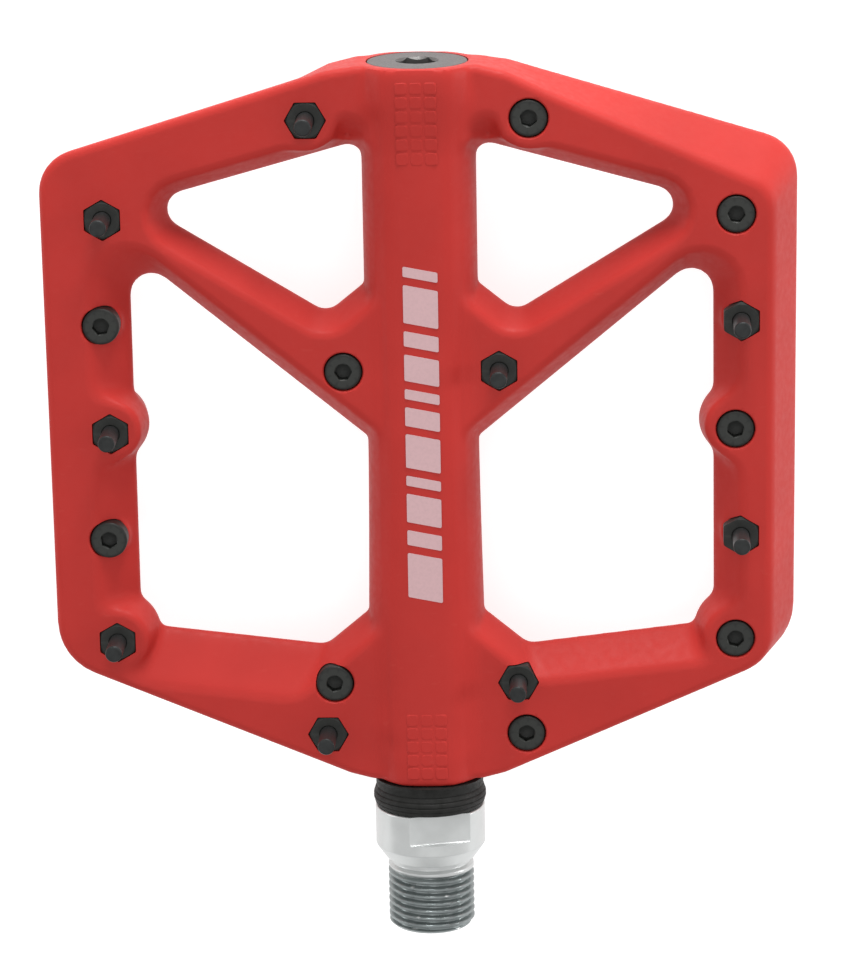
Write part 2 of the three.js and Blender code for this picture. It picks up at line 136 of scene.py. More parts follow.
def shade(piece, sharp_angle=SHARP_ANGLE):
    """Smooth shading, with edges kept sharp past an angle in degrees."""
    mesh = piece.data
    mesh.shade_smooth()
    mesh.set_sharp_from_angle(angle=math.radians(sharp_angle))


def quads_of_grid(rows, columns, closed_rows=False):
    """Faces of a grid whose columns wrap round; its rows may wrap too."""
    faces = []
    for row in range(rows if closed_rows else rows - 1):
        after = (row + 1) % rows
        for column in range(columns):
            beside = (column + 1) % columns
            faces.append((row * columns + column, after * columns + column,
                          after * columns + beside, row * columns + beside))
    return faces


def turned(profile, segments=96, radius_at=None):
    """Points and faces of a piece turned about Y from [radius, y] rows.

    The profile runs so that its outside is on the left going up Y. A profile that starts and ends
    on the axis is capped there, any other is closed on itself. radius_at(angle, radius, y) may
    change a row's radius with the angle.
    """
    profile = np.asarray(profile, float)
    on_axis = profile[0][0] == 0
    rows = profile[1:-1] if on_axis else profile
    angle = np.arange(segments) * 2 * math.pi / segments
    radius = np.repeat(rows[:, :1], segments, axis=1)
    along = np.repeat(rows[:, 1:], segments, axis=1)
    if radius_at is not None:
        radius = radius_at(angle[None, :], radius, along)
    points = np.stack([radius * np.cos(angle), along, -radius * np.sin(angle)], axis=-1).reshape(-1, 3)
    faces = quads_of_grid(len(rows), segments, closed_rows=not on_axis)
    if on_axis:
        first, last = len(points), len(points) + 1
        points = np.vstack([points, [0, profile[0][1], 0], [0, profile[-1][1], 0]])
        top = (len(rows) - 1) * segments
        for column in range(segments):
            beside = (column + 1) % segments
            faces.append((first, column, beside))
            faces.append((last, top + beside, top + column))
    return points, faces


def upright(points):
    """Turns points made along +Y to stand along +Z."""
    points = np.asarray(points, float)
    return np.stack([points[:, 0], -points[:, 2], points[:, 1]], axis=-1)


def rounded_profile(corners, steps=5):
    """Replaces each [radius, y, round] corner of an open profile by an arc."""
    out = []
    for index, corner in enumerate(corners):
        at = np.array(corner[:2], float)
        reach = corner[2] if len(corner) > 2 else 0.0
        if reach == 0 or index in (0, len(corners) - 1):
            out.append(at)
            continue
        before, after = np.array(corners[index - 1][:2], float), np.array(corners[index + 1][:2], float)
        arc = arc_between(before, at, after, reach, steps)
        out.extend([eased(arc[0], before), *arc, eased(arc[-1], after)])
    return np.array(out)


def eased(start, towards, step=0.03):
    """A point just along a straight from an arc's end, which keeps the straight's shading flat."""
    away = towards - start
    return start + away * min(step / max(np.linalg.norm(away), 1e-9), 0.3)


def arc_between(before, at, after, radius, steps):
    """Points of the arc that rounds the corner at between its neighbours."""
    to_before = (before - at) / np.linalg.norm(before - at)
    to_after = (after - at) / np.linalg.norm(after - at)
    half = math.acos(np.clip(to_before @ to_after, -1, 1)) / 2
    middle = to_before + to_after
    centre = at + middle / np.linalg.norm(middle) * radius / math.sin(half)
    start = at + to_before * radius / math.tan(half) - centre
    end = at + to_after * radius / math.tan(half) - centre
    first = math.atan2(start[1], start[0])
    sweep = (math.atan2(end[1], end[0]) - first + math.pi) % (2 * math.pi) - math.pi
    turns = first + sweep * np.linspace(0, 1, steps + 1)
    return [centre + radius * np.array([math.cos(t), math.sin(t)]) for t in turns]


def rounded_loop(corners, steps=6):
    """Points of a closed loop of [x, y, radius] corners."""
    corners = np.asarray(corners, float)
    out = []
    for index in range(len(corners)):
        at = corners[index]
        if at[2] <= 0:
            out.append(at[:2])
        else:
            out.extend(arc_between(corners[index - 1][:2], at[:2],
                                   corners[(index + 1) % len(corners)][:2], at[2], steps))
    return np.array(out)


def stacked(loops):
    """Points and faces of closed loops of [x, y, z] points, joined in order and capped at both ends."""
    count = len(loops[0])
    last = (len(loops) - 1) * count
    faces = quads_of_grid(len(loops), count)
    faces.append(tuple(range(count)))
    faces.append(tuple(range(last + count - 1, last - 1, -1)))
    return np.vstack(loops), faces


def prism(loop, start, end):
    """Points and faces of a closed loop of [x, z] points pushed along Y."""
    return stacked([np.column_stack([loop[:, 0], np.full(len(loop), y), loop[:, 1]]) for y in (start, end)])


def corner_radius(across_flats):
    """How far a hexagon's corners lie from its middle."""
    return across_flats / math.sqrt(3)


def hexagon(across_flats, round_corner, corners_along_first, steps):
    """A hexagon's loop, its corners rounded."""
    turn = 0.0 if corners_along_first else math.pi / 6
    reach = corner_radius(across_flats)
    corners = [[reach * math.cos(turn + k * math.pi / 3), reach * math.sin(turn + k * math.pi / 3),
                round_corner] for k in range(6)]
    return rounded_loop(corners, steps)


def merged(parts):
    """One list of points and faces from several."""
    points, faces, count = [], [], 0
    for part_points, part_faces in parts:
        points.append(np.asarray(part_points, float))
        faces.extend(tuple(count + i for i in face) for face in part_faces)
        count += len(part_points)
    return np.vstack(points), faces


def outward(points, faces):
    """A closed mesh's faces, turned to look outwards."""
    volume = 0.0
    for face in faces:
        a = points[face[0]]
        for i in range(1, len(face) - 1):
            volume += np.dot(a, np.cross(points[face[i]], points[face[i + 1]]))
    return faces if volume > 0 else [tuple(reversed(face)) for face in faces]


def cut(piece, tools, sharp_angle=SHARP_ANGLE):
    """Takes closed tool meshes out of a piece, one set of separate tools at a time."""
    for parts in tools:
        points, faces = merged([(p, outward(p, f)) for p, f in parts])
        tool = mesh_object(piece.name + "_tool", points, faces)
        change = piece.modifiers.new("cut", "BOOLEAN")
        change.operation = "DIFFERENCE"
        change.solver = "MANIFOLD"
        change.object = tool
        bake_modifiers(piece)
        bpy.data.meshes.remove(tool.data)
    shade(piece, sharp_angle)


def bake_modifiers(piece):
    """Makes a piece's modified mesh its own mesh."""
    seen = bpy.context.evaluated_depsgraph_get()
    mesh = bpy.data.meshes.new_from_object(piece.evaluated_get(seen))
    if len(mesh.polygons) == 0:
        raise RuntimeError(f"{piece.name} has nothing left after its modifiers")
    old = piece.data
    piece.modifiers.clear()
    piece.data = mesh
    bpy.data.meshes.remove(old)
    mesh.name = piece.name


def settle(piece, body, nodes, material):
    """Gives a piece its finish, its CAD body and the CAD nodes it stands for."""
    piece.data.materials.clear()
    piece.data.materials.append(material)
    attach(piece, body)
    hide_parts(*nodes)
    return piece


# ---------------------------------------------------------------- materials


def linear(value):
    """One part of a display colour, from 0 to 1, as a linear value."""
    return value / 12.92 if value <= 0.04045 else ((value + 0.055) / 1.055) ** 2.4


def display(red, green, blue):
    """A colour given as 0 to 255 display values, as Blender's linear RGBA."""
    return (linear(red / 255), linear(green / 255), linear(blue / 255), 1.0)


# Noise lies mostly between these two values, so colours and roughness run over them.
NOISE_LOW, NOISE_HIGH = 0.3, 0.7


class Finish:
    """A material whose colour, roughness and relief come from noise in the piece's own space."""

    def __init__(self, name, **sockets):
        self.material = bpy.data.materials.get(name) or bpy.data.materials.new(name)
        self.material.use_nodes = True
        self.tree = self.material.node_tree
        self.tree.nodes.clear()
        self.shader = self.node("ShaderNodeBsdfPrincipled")
        output = self.node("ShaderNodeOutputMaterial")
        self.link(self.shader.outputs["BSDF"], output.inputs["Surface"])
        self.place = self.node("ShaderNodeTexCoord").outputs["Object"]
        self.relief = None
        for socket, value in sockets.items():
            self.shader.inputs[socket.replace("_", " ")].default_value = value

    def node(self, kind, **values):
        """A new node with these properties."""
        made = self.tree.nodes.new(kind)
        for key, value in values.items():
            setattr(made, key, value)
        return made

    def link(self, output, socket):
        self.tree.links.new(output, socket)

    def noise(self, per_mm, detail, stretch=(1, 1, 1)):
        """Noise with about this many features in a millimetre."""
        mapping = self.node("ShaderNodeMapping")
        mapping.inputs["Scale"].default_value = [per_mm / MM * s for s in stretch]
        self.link(self.place, mapping.inputs["Vector"])
        texture = self.node("ShaderNodeTexNoise")
        texture.inputs["Scale"].default_value = 1.0
        texture.inputs["Detail"].default_value = detail
        self.link(mapping.outputs["Vector"], texture.inputs["Vector"])
        return texture.outputs["Fac"]

    def ranged(self, value, low_in, high_in, low_out, high_out):
        """A value moved from one range to another, and kept inside it."""
        span = self.node("ShaderNodeMapRange")
        for socket, number in zip(("From Min", "From Max", "To Min", "To Max"),
                                  (low_in, high_in, low_out, high_out)):
            span.inputs[socket].default_value = number
        self.link(value, span.inputs["Value"])
        return span.outputs["Result"]

    def blend(self, noise, low, high, full=NOISE_HIGH):
        """A colour that runs from low to high as the noise goes up."""
        ramp = self.node("ShaderNodeValToRGB")
        for band, place, colour in zip(ramp.color_ramp.elements, (NOISE_LOW, full), (low, high)):
            band.position = place
            band.color = colour
        self.link(noise, ramp.inputs["Fac"])
        return ramp.outputs["Color"]

    def over(self, factor, below, colour):
        """One plain colour laid over another by this factor."""
        mix = self.node("ShaderNodeMix", data_type="RGBA")
        self.link(factor, mix.inputs[0])
        self.link(below, mix.inputs[6])
        mix.inputs[7].default_value = colour
        return mix.outputs[2]

    def edges(self, low, high):
        """1 on convex edges, from the mesh's pointiness."""
        return self.ranged(self.node("ShaderNodeNewGeometry").outputs["Pointiness"], low, high, 0, 1)

    def colour(self, value):
        self.link(value, self.shader.inputs["Base Color"])

    def roughness(self, noise, low, high):
        """Roughness that runs from low to high as the noise goes up."""
        self.link(self.ranged(noise, NOISE_LOW, NOISE_HIGH, low, high), self.shader.inputs["Roughness"])

    def bump(self, value, depth_mm, strength):
        """Adds relief this deep for a value from 0 to 1."""
        bump = self.node("ShaderNodeBump")
        bump.inputs["Distance"].default_value = depth_mm * MM
        bump.inputs["Strength"].default_value = strength
        self.link(value, bump.inputs["Height"])
        if self.relief is not None:
            self.link(self.relief, bump.inputs["Normal"])
        self.relief = bump.outputs["Normal"]
        self.link(self.relief, self.shader.inputs["Normal"])


def scaled(colour, factor):
    """A colour made lighter or darker."""
    return (*(part * factor for part in colour[:3]), 1.0)


def moulded_nylon():
    """Satin glass-filled nylon: fine grain, faint flow marks, pale specks and scuffs."""
    look = bpy.context.scene.flat_pedal.platform
    finish = Finish("red_moulded_nylon", Roughness=look.gloss, IOR=1.5, Specular_IOR_Level=0.17)
    body = finish.blend(finish.noise(0.06, 4), scaled(look.colour, 0.93), scaled(look.colour, 1.06))
    speck = finish.ranged(finish.noise(2.6, 2), 0.62, 0.78, 0, 0.08)
    body = finish.over(speck, body, scaled(look.colour, 1.35))
    scuff = finish.ranged(finish.noise(1.1, 4, (0.35, 1, 1)), 0.66, 0.74, 0, 0.12)
    finish.colour(finish.over(scuff, body, (0.5, 0.07, 0.055, 1.0)))
    finish.roughness(finish.noise(0.9, 5), look.gloss - 0.06, look.gloss + 0.09)
    finish.bump(finish.noise(3.2, 3), 0.016, 0.55)
    finish.bump(finish.noise(0.35, 2), 0.02, 0.5)
    return finish.material


def coated_steel():
    """Black chemically coated steel, with a painted highlight on its corners."""
    colour = bpy.context.scene.flat_pedal.pins.colour
    finish = Finish("black_coated_steel", Metallic=0.2, Roughness=0.5, Specular_IOR_Level=0.35)
    body = finish.blend(finish.noise(0.9, 4), scaled(colour, 0.75), scaled(colour, 1.3), 0.72)
    # The lighter colour on convex corners is a painted highlight.
    finish.colour(finish.over(finish.edges(0.53, 0.64), body, scaled(colour, 1.7)))
    finish.roughness(finish.noise(4, 3), 0.42, 0.6)
    finish.bump(finish.noise(9, 2), 0.006, 0.5)
    return finish.material


def rod_steel():
    """The pins' shanks: dark grey, with fine rings from turning."""
    finish = Finish("grey_turned_steel", Metallic=0.25, Roughness=0.45, Specular_IOR_Level=0.25)
    rings = finish.noise(5, 2, (0.15, 0.15, 1.6))
    finish.colour(finish.blend(rings, (0.015, 0.016, 0.016, 1), (0.028, 0.03, 0.03, 1)))
    finish.roughness(rings, 0.36, 0.52)
    finish.bump(rings, 0.006, 0.6)
    return finish.material


def chromed_steel():
    """Bright satin plating over turned steel."""
    finish = Finish("satin_chromed_steel", Metallic=0.55, Roughness=0.32)
    cloud = finish.noise(0.35, 3)
    finish.colour(finish.blend(cloud, (0.55, 0.565, 0.56, 1), (0.6, 0.615, 0.61, 1)))
    finish.roughness(cloud, 0.29, 0.36)
    finish.bump(finish.noise(0.9, 3), 0.006, 0.3)
    return finish.material


def thread_steel():
    """Grey thread flanks, with a painted highlight along the crest."""
    finish = Finish("grey_thread_steel", Metallic=0.75, Roughness=0.4)
    body = finish.blend(finish.noise(0.5, 4), (0.2, 0.225, 0.225, 1), (0.28, 0.31, 0.31, 1))
    # The pale colour on convex edges is a painted highlight along the thread's crests.
    finish.colour(finish.over(finish.edges(0.53, 0.62), body, (0.66, 0.665, 0.66, 1)))
    finish.roughness(finish.noise(3, 3), 0.26, 0.45)
    finish.bump(finish.noise(5, 2), 0.004, 0.5)
    return finish.material


def bearing_steel():
    """Ground steel with faint rings round the axis."""
    finish = Finish("ground_bearing_steel", Metallic=1.0, Roughness=0.2)
    rings = finish.noise(4, 2, (0.1, 1.8, 0.1))
    finish.colour(finish.blend(rings, (0.5, 0.51, 0.52, 1), (0.64, 0.65, 0.66, 1)))
    finish.roughness(rings, 0.14, 0.3)
    finish.bump(rings, 0.002, 0.4)
    return finish.material


def anodised_aluminium():
    """Grey anodised aluminium with a fine even grain."""
    colour = bpy.context.scene.flat_pedal.cap.colour
    finish = Finish("grey_anodised_aluminium", Metallic=0.75, Roughness=0.45)
    finish.colour(finish.blend(finish.noise(0.5, 3), scaled(colour, 0.92), scaled(colour, 1.08)))
    finish.roughness(finish.noise(3, 4), 0.42, 0.56)
    finish.bump(finish.noise(6, 2), 0.003, 0.4)
    return finish.material


def seal_rubber():
    """Black rubber, dull and slightly mottled."""
    finish = Finish("black_seal_rubber", Roughness=0.6, Specular_IOR_Level=0.22)
    finish.colour(finish.blend(finish.noise(0.7, 4), (0.009, 0.009, 0.008, 1), (0.017, 0.017, 0.016, 1)))
    finish.roughness(finish.noise(2.5, 3), 0.5, 0.72)
    finish.bump(finish.noise(7, 2), 0.006, 0.5)
    return finish.material


def bush_polymer():
    """Dark grey bearing polymer."""
    finish = Finish("grey_bush_polymer", Roughness=0.55)
    finish.colour(finish.blend(finish.noise(0.8, 4), (0.035, 0.035, 0.033, 1), (0.06, 0.06, 0.057, 1)))
    finish.roughness(finish.noise(3, 3), 0.46, 0.64)
    finish.bump(finish.noise(6, 2), 0.005, 0.4)
    return finish.material


def pad_print():
    """Thin pale ink, slightly uneven."""
    colour = bpy.context.scene.flat_pedal.marking.colour
    finish = Finish("pale_pad_print", Roughness=0.5)
    grain = finish.noise(2.2, 4)
    finish.colour(finish.blend(grain, scaled(colour, 0.93), scaled(colour, 1.0), 0.6))
    finish.roughness(grain, 0.44, 0.6)
    finish.bump(finish.noise(3.2, 3), 0.012, 0.5)
    return finish.material


# ---------------------------------------------------------------- solid shapes on a grid


def rounded_and(a, b, radius):
    """Where both hold, with the edge between them rounded."""
    return np.minimum(np.maximum(a, b), -radius) + np.hypot(np.maximum(a + radius, 0),
                                                            np.maximum(b + radius, 0))


def filleted_or(a, b, reach):
    """Where either holds, with the valley between them filled over this reach."""
    share = np.maximum(reach - np.abs(a - b), 0) / reach
    return np.minimum(a, b) - share * share * reach / 4


def loop_distance(x, y, loop):
    """Distance to a closed loop of [x, y] points, negative inside."""
    nearest = np.full(x.shape, np.inf, np.float32)
    inside = np.zeros(x.shape, bool)
    for (ax, ay), (bx, by) in zip(loop, np.roll(loop, -1, axis=0)):
        along_x, along_y = bx - ax, by - ay
        length = along_x * along_x + along_y * along_y
        if length < 1e-12:
            continue
        share = np.clip(((x - ax) * along_x + (y - ay) * along_y) / length, 0, 1)
        nearest = np.minimum(nearest, (x - ax - share * along_x) ** 2 + (y - ay - share * along_y) ** 2)
        if ay != by:
            inside ^= ((ay > y) != (by > y)) & (x < along_x * (y - ay) / along_y + ax)
    return np.where(inside, -1, 1).astype(np.float32) * np.sqrt(nearest)


def lerp(a, b, share):
    """The value this share of the way from a to b."""
    return a + (b - a) * share


# Right half of the frame's outline, from the inboard end outwards, as [x, y, corner radius]. "wide" is
# the lower face, which reaches furthest out on this side, and "narrow" is the upper one.
HALF_OUTLINE = {
    "wide": np.array([[0.0, -46.5, 0], [9.0, -46.1, 1.0], [12.8, -45.1, 3.0], [60.5, -25.15, 9.4],
                      [60.95, 58.1, 7.0], [19.7, 70.6, 4.0], [14.5, 72.2, 3.0], [9.5, 72.95, 2.0],
                      [0.0, 72.95, 0]]),
    "narrow": np.array([[0.0, -46.5, 0], [9.0, -46.1, 1.0], [12.8, -45.1, 3.0], [56.4, -25.95, 7.0],
                        [56.8, 52.4, 5.0], [20.6, 68.6, 4.0], [14.4, 71.75, 3.0], [9.8, 72.95, 2.0],
                        [0.0, 72.95, 0]]),
}

# The half outline's two ends are moved to this X, past the middle, before it is closed.
PAST_MIDDLE = -20.0

# Windows of the right half as [x, y, radius] corners at mid thickness, and how far each side has moved
# outwards at the lower face ("wide") and at the upper one ("narrow").
WINDOWS = [
    {
        "corners": np.array([[9.0, 60.25, 2.4], [9.0, 36.9, 1.0], [15.3, 31.8, 3.0], [45.3, 50.2, 3.05]]),
        "wide": (3, 3, 3, 3),
        "narrow": (3, 3, 3, 3),
    },
    {
        "corners": np.array([[9.0, 11.05, 0.6], [9.0, -18.0, 1.0], [16.6, -24.3, 3.0], [47.15, -20.6, 2.0],
                             [47.15, 42.55, 3.5]]),
        "wide": (3, 3, 8.4, 6.3, 3),
        "narrow": (3, 3, 5.2, 4.6, 3),
    },
]

# The tube's [y, radius] along its length, half its thickness over the flats, its inboard end, the rounding
# of its edges, and how it swells towards the outboard end and rounds off there.
TUBE_STATIONS = np.array([[-47, 8.85], [-42, 9.35], [-18, 9.5], [9, 8.95], [37, 9.2], [72.95, 9.2]])
TUBE_FLAT = 8.3
TUBE_START = -46.7
TUBE_EDGES = {"flat": 1.0, "inboard": 0.8, "outboard": 0.25}
OUTBOARD_FLARE = {"start": 58.0, "length": 12.0, "rise": 1.05}
OUTBOARD_CROWN = {"length": 2.2, "drop": 0.4}

# Height of the upright lip under the frame's sloping side, and how softly the slope starts and ends.
FRAME_LIP = 2.5
LIP_EASE = 0.05

# Windows widen from mid thickness to both faces. The turn between the two slopes is rounded this much.
WINDOW_BLUNT = 0.9

# Bosses of the right half that stand into a window: their radius at mid thickness and at the faces, and
# how wide they blend into the window's side at the faces. At mid thickness they blend over BOSS_BLEND.
BOSSES = [
    {"at": (17.8, 64.4), "middle": 5.25, "face": 5.0, "flare": 1.6},
    {"at": (50.65, 13.6), "middle": 5.8, "face": 4.9, "flare": 5.0},
    {"at": (50.65, -21.8), "middle": 6.65, "face": 5.0, "flare": 3.5},
]
BOSS_BLEND = 1.2

# A post round every pin, which gives its head and nut a seat where a slope runs under them.
SEAT_POST = {"radius": 3.2, "top": 3.0, "edge": 0.3, "fillet": 0.8}

# A round hollow between the tube and the outboard window: its radius at mid thickness, where nothing of
# it is left, and at the faces.
HOLLOW = {"at": (11.2, 61.6), "middle": -2.0, "face": 3.5}

# Near the axis the arms fall away inside the tube, so that none of their edges shows in its flats.
INSIDE_TUBE = {"radius": 7.0, "slope": 0.8}

# The fillet between arms and tube: its reach near mid thickness, the height where it starts to widen,
# the height over which it does, and the length over which it fades out at the tube's ends.
FILLET = {"least": 0.4, "start": 3.5, "over": 2.5, "ends": 6.0}

# Cells of room round the platform. Y starts part of a cell off, so that no flat end lies on a grid line.
GRID_ROOM = 3
GRID_START = 2.6


def tube_swell(y):
    """How much thicker the tube gets towards its outboard end, before its edge rounds off."""
    share = np.clip((y - OUTBOARD_FLARE["start"]) / OUTBOARD_FLARE["length"], 0, 1)
    crown = np.clip((y - PLATFORM_HIGH.y + OUTBOARD_CROWN["length"]) / OUTBOARD_CROWN["length"], 0, 1)
    drop = OUTBOARD_CROWN["drop"] * (1 - np.sqrt(1 - crown**2))
    return OUTBOARD_FLARE["rise"] * share * share * (3 - 2 * share) - drop


def moved_out(corners, distances):
    """Moves each side of an anticlockwise loop of corners outwards by its own distance."""
    count = len(corners)
    sides = []
    for index in range(count):
        start, end = corners[index][:2], corners[(index + 1) % count][:2]
        along = (end - start) / np.linalg.norm(end - start)
        sides.append((along, start + np.array([along[1], -along[0]]) * distances[index]))
    out = []
    for index in range(count):
        (one, one_from), (two, two_from) = sides[index - 1], sides[index]
        gap = two_from - one_from
        step = (gap[0] * two[1] - gap[1] * two[0]) / (one[0] * two[1] - one[1] * two[0])
        grow = min(distances[index - 1], distances[index])
        out.append([*(one_from + one * step), corners[index][2] + grow])
    return np.array(out)


def from_place(x, y, place):
    """Distance from an [x, y] place."""
    return np.hypot(x - place[0], y - place[1])


def windows_layer(x, y, face_name, height):
    """Distance into the windows at a share of the way from mid thickness to a face, negative outside."""
    rim = np.full(x.shape, -1e3, np.float32)
    for window in WINDOWS:
        sides = moved_out(window["corners"], np.array(window[face_name]) * height)
        rim = np.maximum(rim, -loop_distance(x, y, rounded_loop(sides)))
    rim = np.maximum(rim, lerp(HOLLOW["middle"], HOLLOW["face"], height) - from_place(x, y, HOLLOW["at"]))
    for boss in BOSSES:
        distance = from_place(x, y, boss["at"]) - lerp(boss["middle"], boss["face"], height)
        rim = filleted_or(rim, distance, lerp(BOSS_BLEND, boss["flare"], height))
    return rim


def tube_layer(x, y, z):
    """Distance to the tube at one height."""
    swell = tube_swell(y).astype(np.float32)
    radius = np.interp(y, TUBE_STATIONS[:, 0], TUBE_STATIONS[:, 1]).astype(np.float32) + swell
    tube = rounded_and(np.hypot(x, z) - radius, np.float32(abs(z) - TUBE_FLAT) - swell, TUBE_EDGES["flat"])
    tube = rounded_and(tube, TUBE_START - y, TUBE_EDGES["inboard"])
    return rounded_and(tube, y - PLATFORM_HIGH.y, TUBE_EDGES["outboard"])


def platform_field(settings):
    """The platform's solid, before its bores, as distances on a grid: (values, corner, cell).

    The right half is worked out layer by layer. The left half is the same, half a turn about the
    spindle away.
    """
    cell = settings.cell / MM
    face = (FACE_TOP - FACE_BOTTOM) / 2
    columns = math.ceil(PLATFORM_HIGH.x / cell + GRID_ROOM)
    layers = math.ceil(PLATFORM_HIGH.z / cell + GRID_ROOM)
    half_x = np.arange(0, columns + 1, dtype=np.float32) * cell
    ys = np.arange(PLATFORM_LOW.y - GRID_START * cell, PLATFORM_HIGH.y + GRID_ROOM * cell, cell,
                   dtype=np.float32)
    zs = np.arange(-layers, layers + 1, dtype=np.float32) * cell
    x, y = np.meshgrid(half_x, ys, indexing="ij")
    edge, brink, fillet = (value / MM for value in (settings.edge_round, settings.window_round,
                                                    settings.tube_fillet))
    ends = np.maximum(y - PLATFORM_HIGH.y, TUBE_START - y)
    from_ends = np.clip(-ends / FILLET["ends"], 0, 1)
    away = np.maximum(INSIDE_TUBE["radius"] - x, 0) * INSIDE_TUBE["slope"]
    posts = [from_place(x, y, pin[1:3]) - SEAT_POST["radius"] for pin in pin_places() if pin[1] > 0]
    half = np.empty((len(half_x), len(ys), len(zs)), np.float32)
    for layer, z in enumerate(zs):
        wide = soft_clamp((face - z) / (2 * face - FRAME_LIP), LIP_EASE)
        outline = rounded_loop(lerp(HALF_OUTLINE["narrow"], HALF_OUTLINE["wide"], wide))
        outline[[0, -1], 0] = PAST_MIDDLE
        height = ((math.hypot(min(abs(z), face), WINDOW_BLUNT) - WINDOW_BLUNT)
                  / (math.hypot(face, WINDOW_BLUNT) - WINDOW_BLUNT))
        slab = rounded_and(loop_distance(x, y, outline), np.float32(abs(z) - face), edge)
        solid = rounded_and(slab, windows_layer(x, y, "narrow" if z > 0 else "wide", height), brink)
        for post in posts:
            post = rounded_and(post, np.float32(abs(z) - SEAT_POST["top"]), SEAT_POST["edge"])
            solid = filleted_or(solid, post, SEAT_POST["fillet"])
        high = np.clip((abs(z) - FILLET["start"]) / FILLET["over"], 0, 1)
        reach = FILLET["least"] + (fillet - FILLET["least"]) * high * from_ends
        half[:, :, layer] = np.maximum(filleted_or(solid + away, tube_layer(x, y, z), reach), ends)
    whole = np.concatenate([half[:0:-1, :, ::-1], half], axis=0)
    return whole, np.array([-half_x[-1], ys[0], zs[0]]), cell


def soft_clamp(value, reach):
    """Keeps a number between 0 and 1, easing over a short reach at both ends."""
    low = 0.5 * (value + math.hypot(value, reach))
    return 1 - 0.5 * ((1 - low) + math.hypot(1 - low, reach))


def cells_round(at, others):
    """The four cells that share a grid edge, in order round it, as index arrays."""
    for back in ((0, 0), (1, 0), (1, 1), (0, 1)):
        owner = at.copy()
        owner[:, others] -= back
        yield tuple(owner.T)


def surface_of(field, corner, cell):
    """Points and quads of the surface where the field is zero.

    Every cell that the surface crosses gets a point, at the mean of the crossings on its edges, and
    every crossed edge gets the quad of the four cells round it.
    """
    inside = field < 0
    shape = np.array(field.shape)
    cells = tuple(shape - 1)
    total = np.zeros((*cells, 3), np.float32)
    count = np.zeros(cells, np.float32)
    crossings = []
    for axis in range(3):
        step = np.eye(3, dtype=int)[axis]
        others = [other for other in range(3) if other != axis]
        at = np.stack(np.nonzero(np.diff(inside, axis=axis)), axis=-1)
        at = at[np.all((at[:, others] > 0) & (at[:, others] < shape[others] - 1), axis=1)]
        one, two = field[tuple(at.T)], field[tuple((at + step).T)]
        place = at.astype(np.float32)
        place[:, axis] += one / (one - two)
        for owner in cells_round(at, others):
            np.add.at(total, owner, place)
            np.add.at(count, owner, 1)
        crossings.append((axis, others, at, one < 0))
    active = count > 0
    index = np.full(cells, -1, np.int64)
    index[active] = np.arange(active.sum())
    quads = []
    for axis, others, at, starts_inside in crossings:
        ring = np.stack([index[owner] for owner in cells_round(at, others)], axis=-1)
        flip = starts_inside if axis == 1 else ~starts_inside
        ring[flip] = ring[flip][:, ::-1]
        quads.append(ring)
    points = onto_surface(total[active] / count[active][:, None], field, rounds=3)
    return points * cell + corner, np.vstack(quads)


def onto_surface(points, field, rounds):
    """Moves points, in cells, along the field's slope to where it is zero."""
    slopes = np.gradient(field)
    for _ in range(rounds):
        slope = np.stack([sampled(part, points) for part in slopes], axis=-1)
        size = np.maximum((slope**2).sum(axis=1), 1e-6)
        step = slope * (sampled(field, points) / size)[:, None]
        points = points - np.clip(step, -0.5, 0.5)
    return points


def sampled(field, points):
    """A field between its grid points."""
    base = np.clip(np.floor(points).astype(int), 0, np.array(field.shape) - 2)
    share = points - base
    value = 0
    for corner in np.ndindex(2, 2, 2):
        weight = np.prod(np.abs(1 - np.array(corner) - share), axis=1)
        value = value + weight * field[tuple((base + corner).T)]
    return value


# ---------------------------------------------------------------- the platform


# Room that the platform leaves for the pins: beside and under heads and nuts, the radius of the hole,
# the eased mouth of a counterbore and the rounded corners of a nut's pocket.
PIN_ROOM = {"beside": 0.15, "under": 0.05, "hole": 1.6, "mouth": 0.3, "corner": 0.3}

# The bore through the tube: room round what sits in it, the chamfer at its mouth, the radius between the
# bush and the bearing, and the wider stretch for the cap's rim.
BORE = {"room": 0.1, "mouth": 0.45, "waist": 6.6, "rim_room": 0.14, "rim_depth": 3.15}

# How far a cutting tool reaches past what it cuts.
PAST = 1.0


def pin_tools():
    """What the pins take out of the platform: holes, counterbores and nut pockets."""
    settings = bpy.context.scene.flat_pedal.pins
    beside, under, hole, mouth = (PIN_ROOM[name] for name in ("beside", "under", "hole", "mouth"))
    past = FACE_TOP + PAST
    head, flats = settings.head_diameter / MM / 2 + beside, settings.nut_flats / MM + 2 * beside
    head_floor = settings.head_height / MM + under - FACE_TOP
    nut_floor = FACE_TOP - settings.nut_height / MM - under
    drill = turned([[0, -past], [hole, -past], [hole, past], [0, past]], 32)
    counterbore = turned([
        [0, -past], [head + mouth + PAST, -past], [head + mouth, -FACE_TOP],
        [head + mouth * 0.3, mouth * 0.45 - FACE_TOP], [head, mouth * 1.4 - FACE_TOP],
        [head, head_floor], [0, head_floor]], 48)
    tools = [[], [], []]
    for _, px, py, way, along_x in pin_places():
        pocket = prism(hexagon(flats, PIN_ROOM["corner"], along_x, 4), nut_floor, past)
        for group, (points, faces) in zip(tools, (drill, counterbore, pocket)):
            group.append((upright(points) * [1, way, way] + [px, py, 0], faces))
    return tools


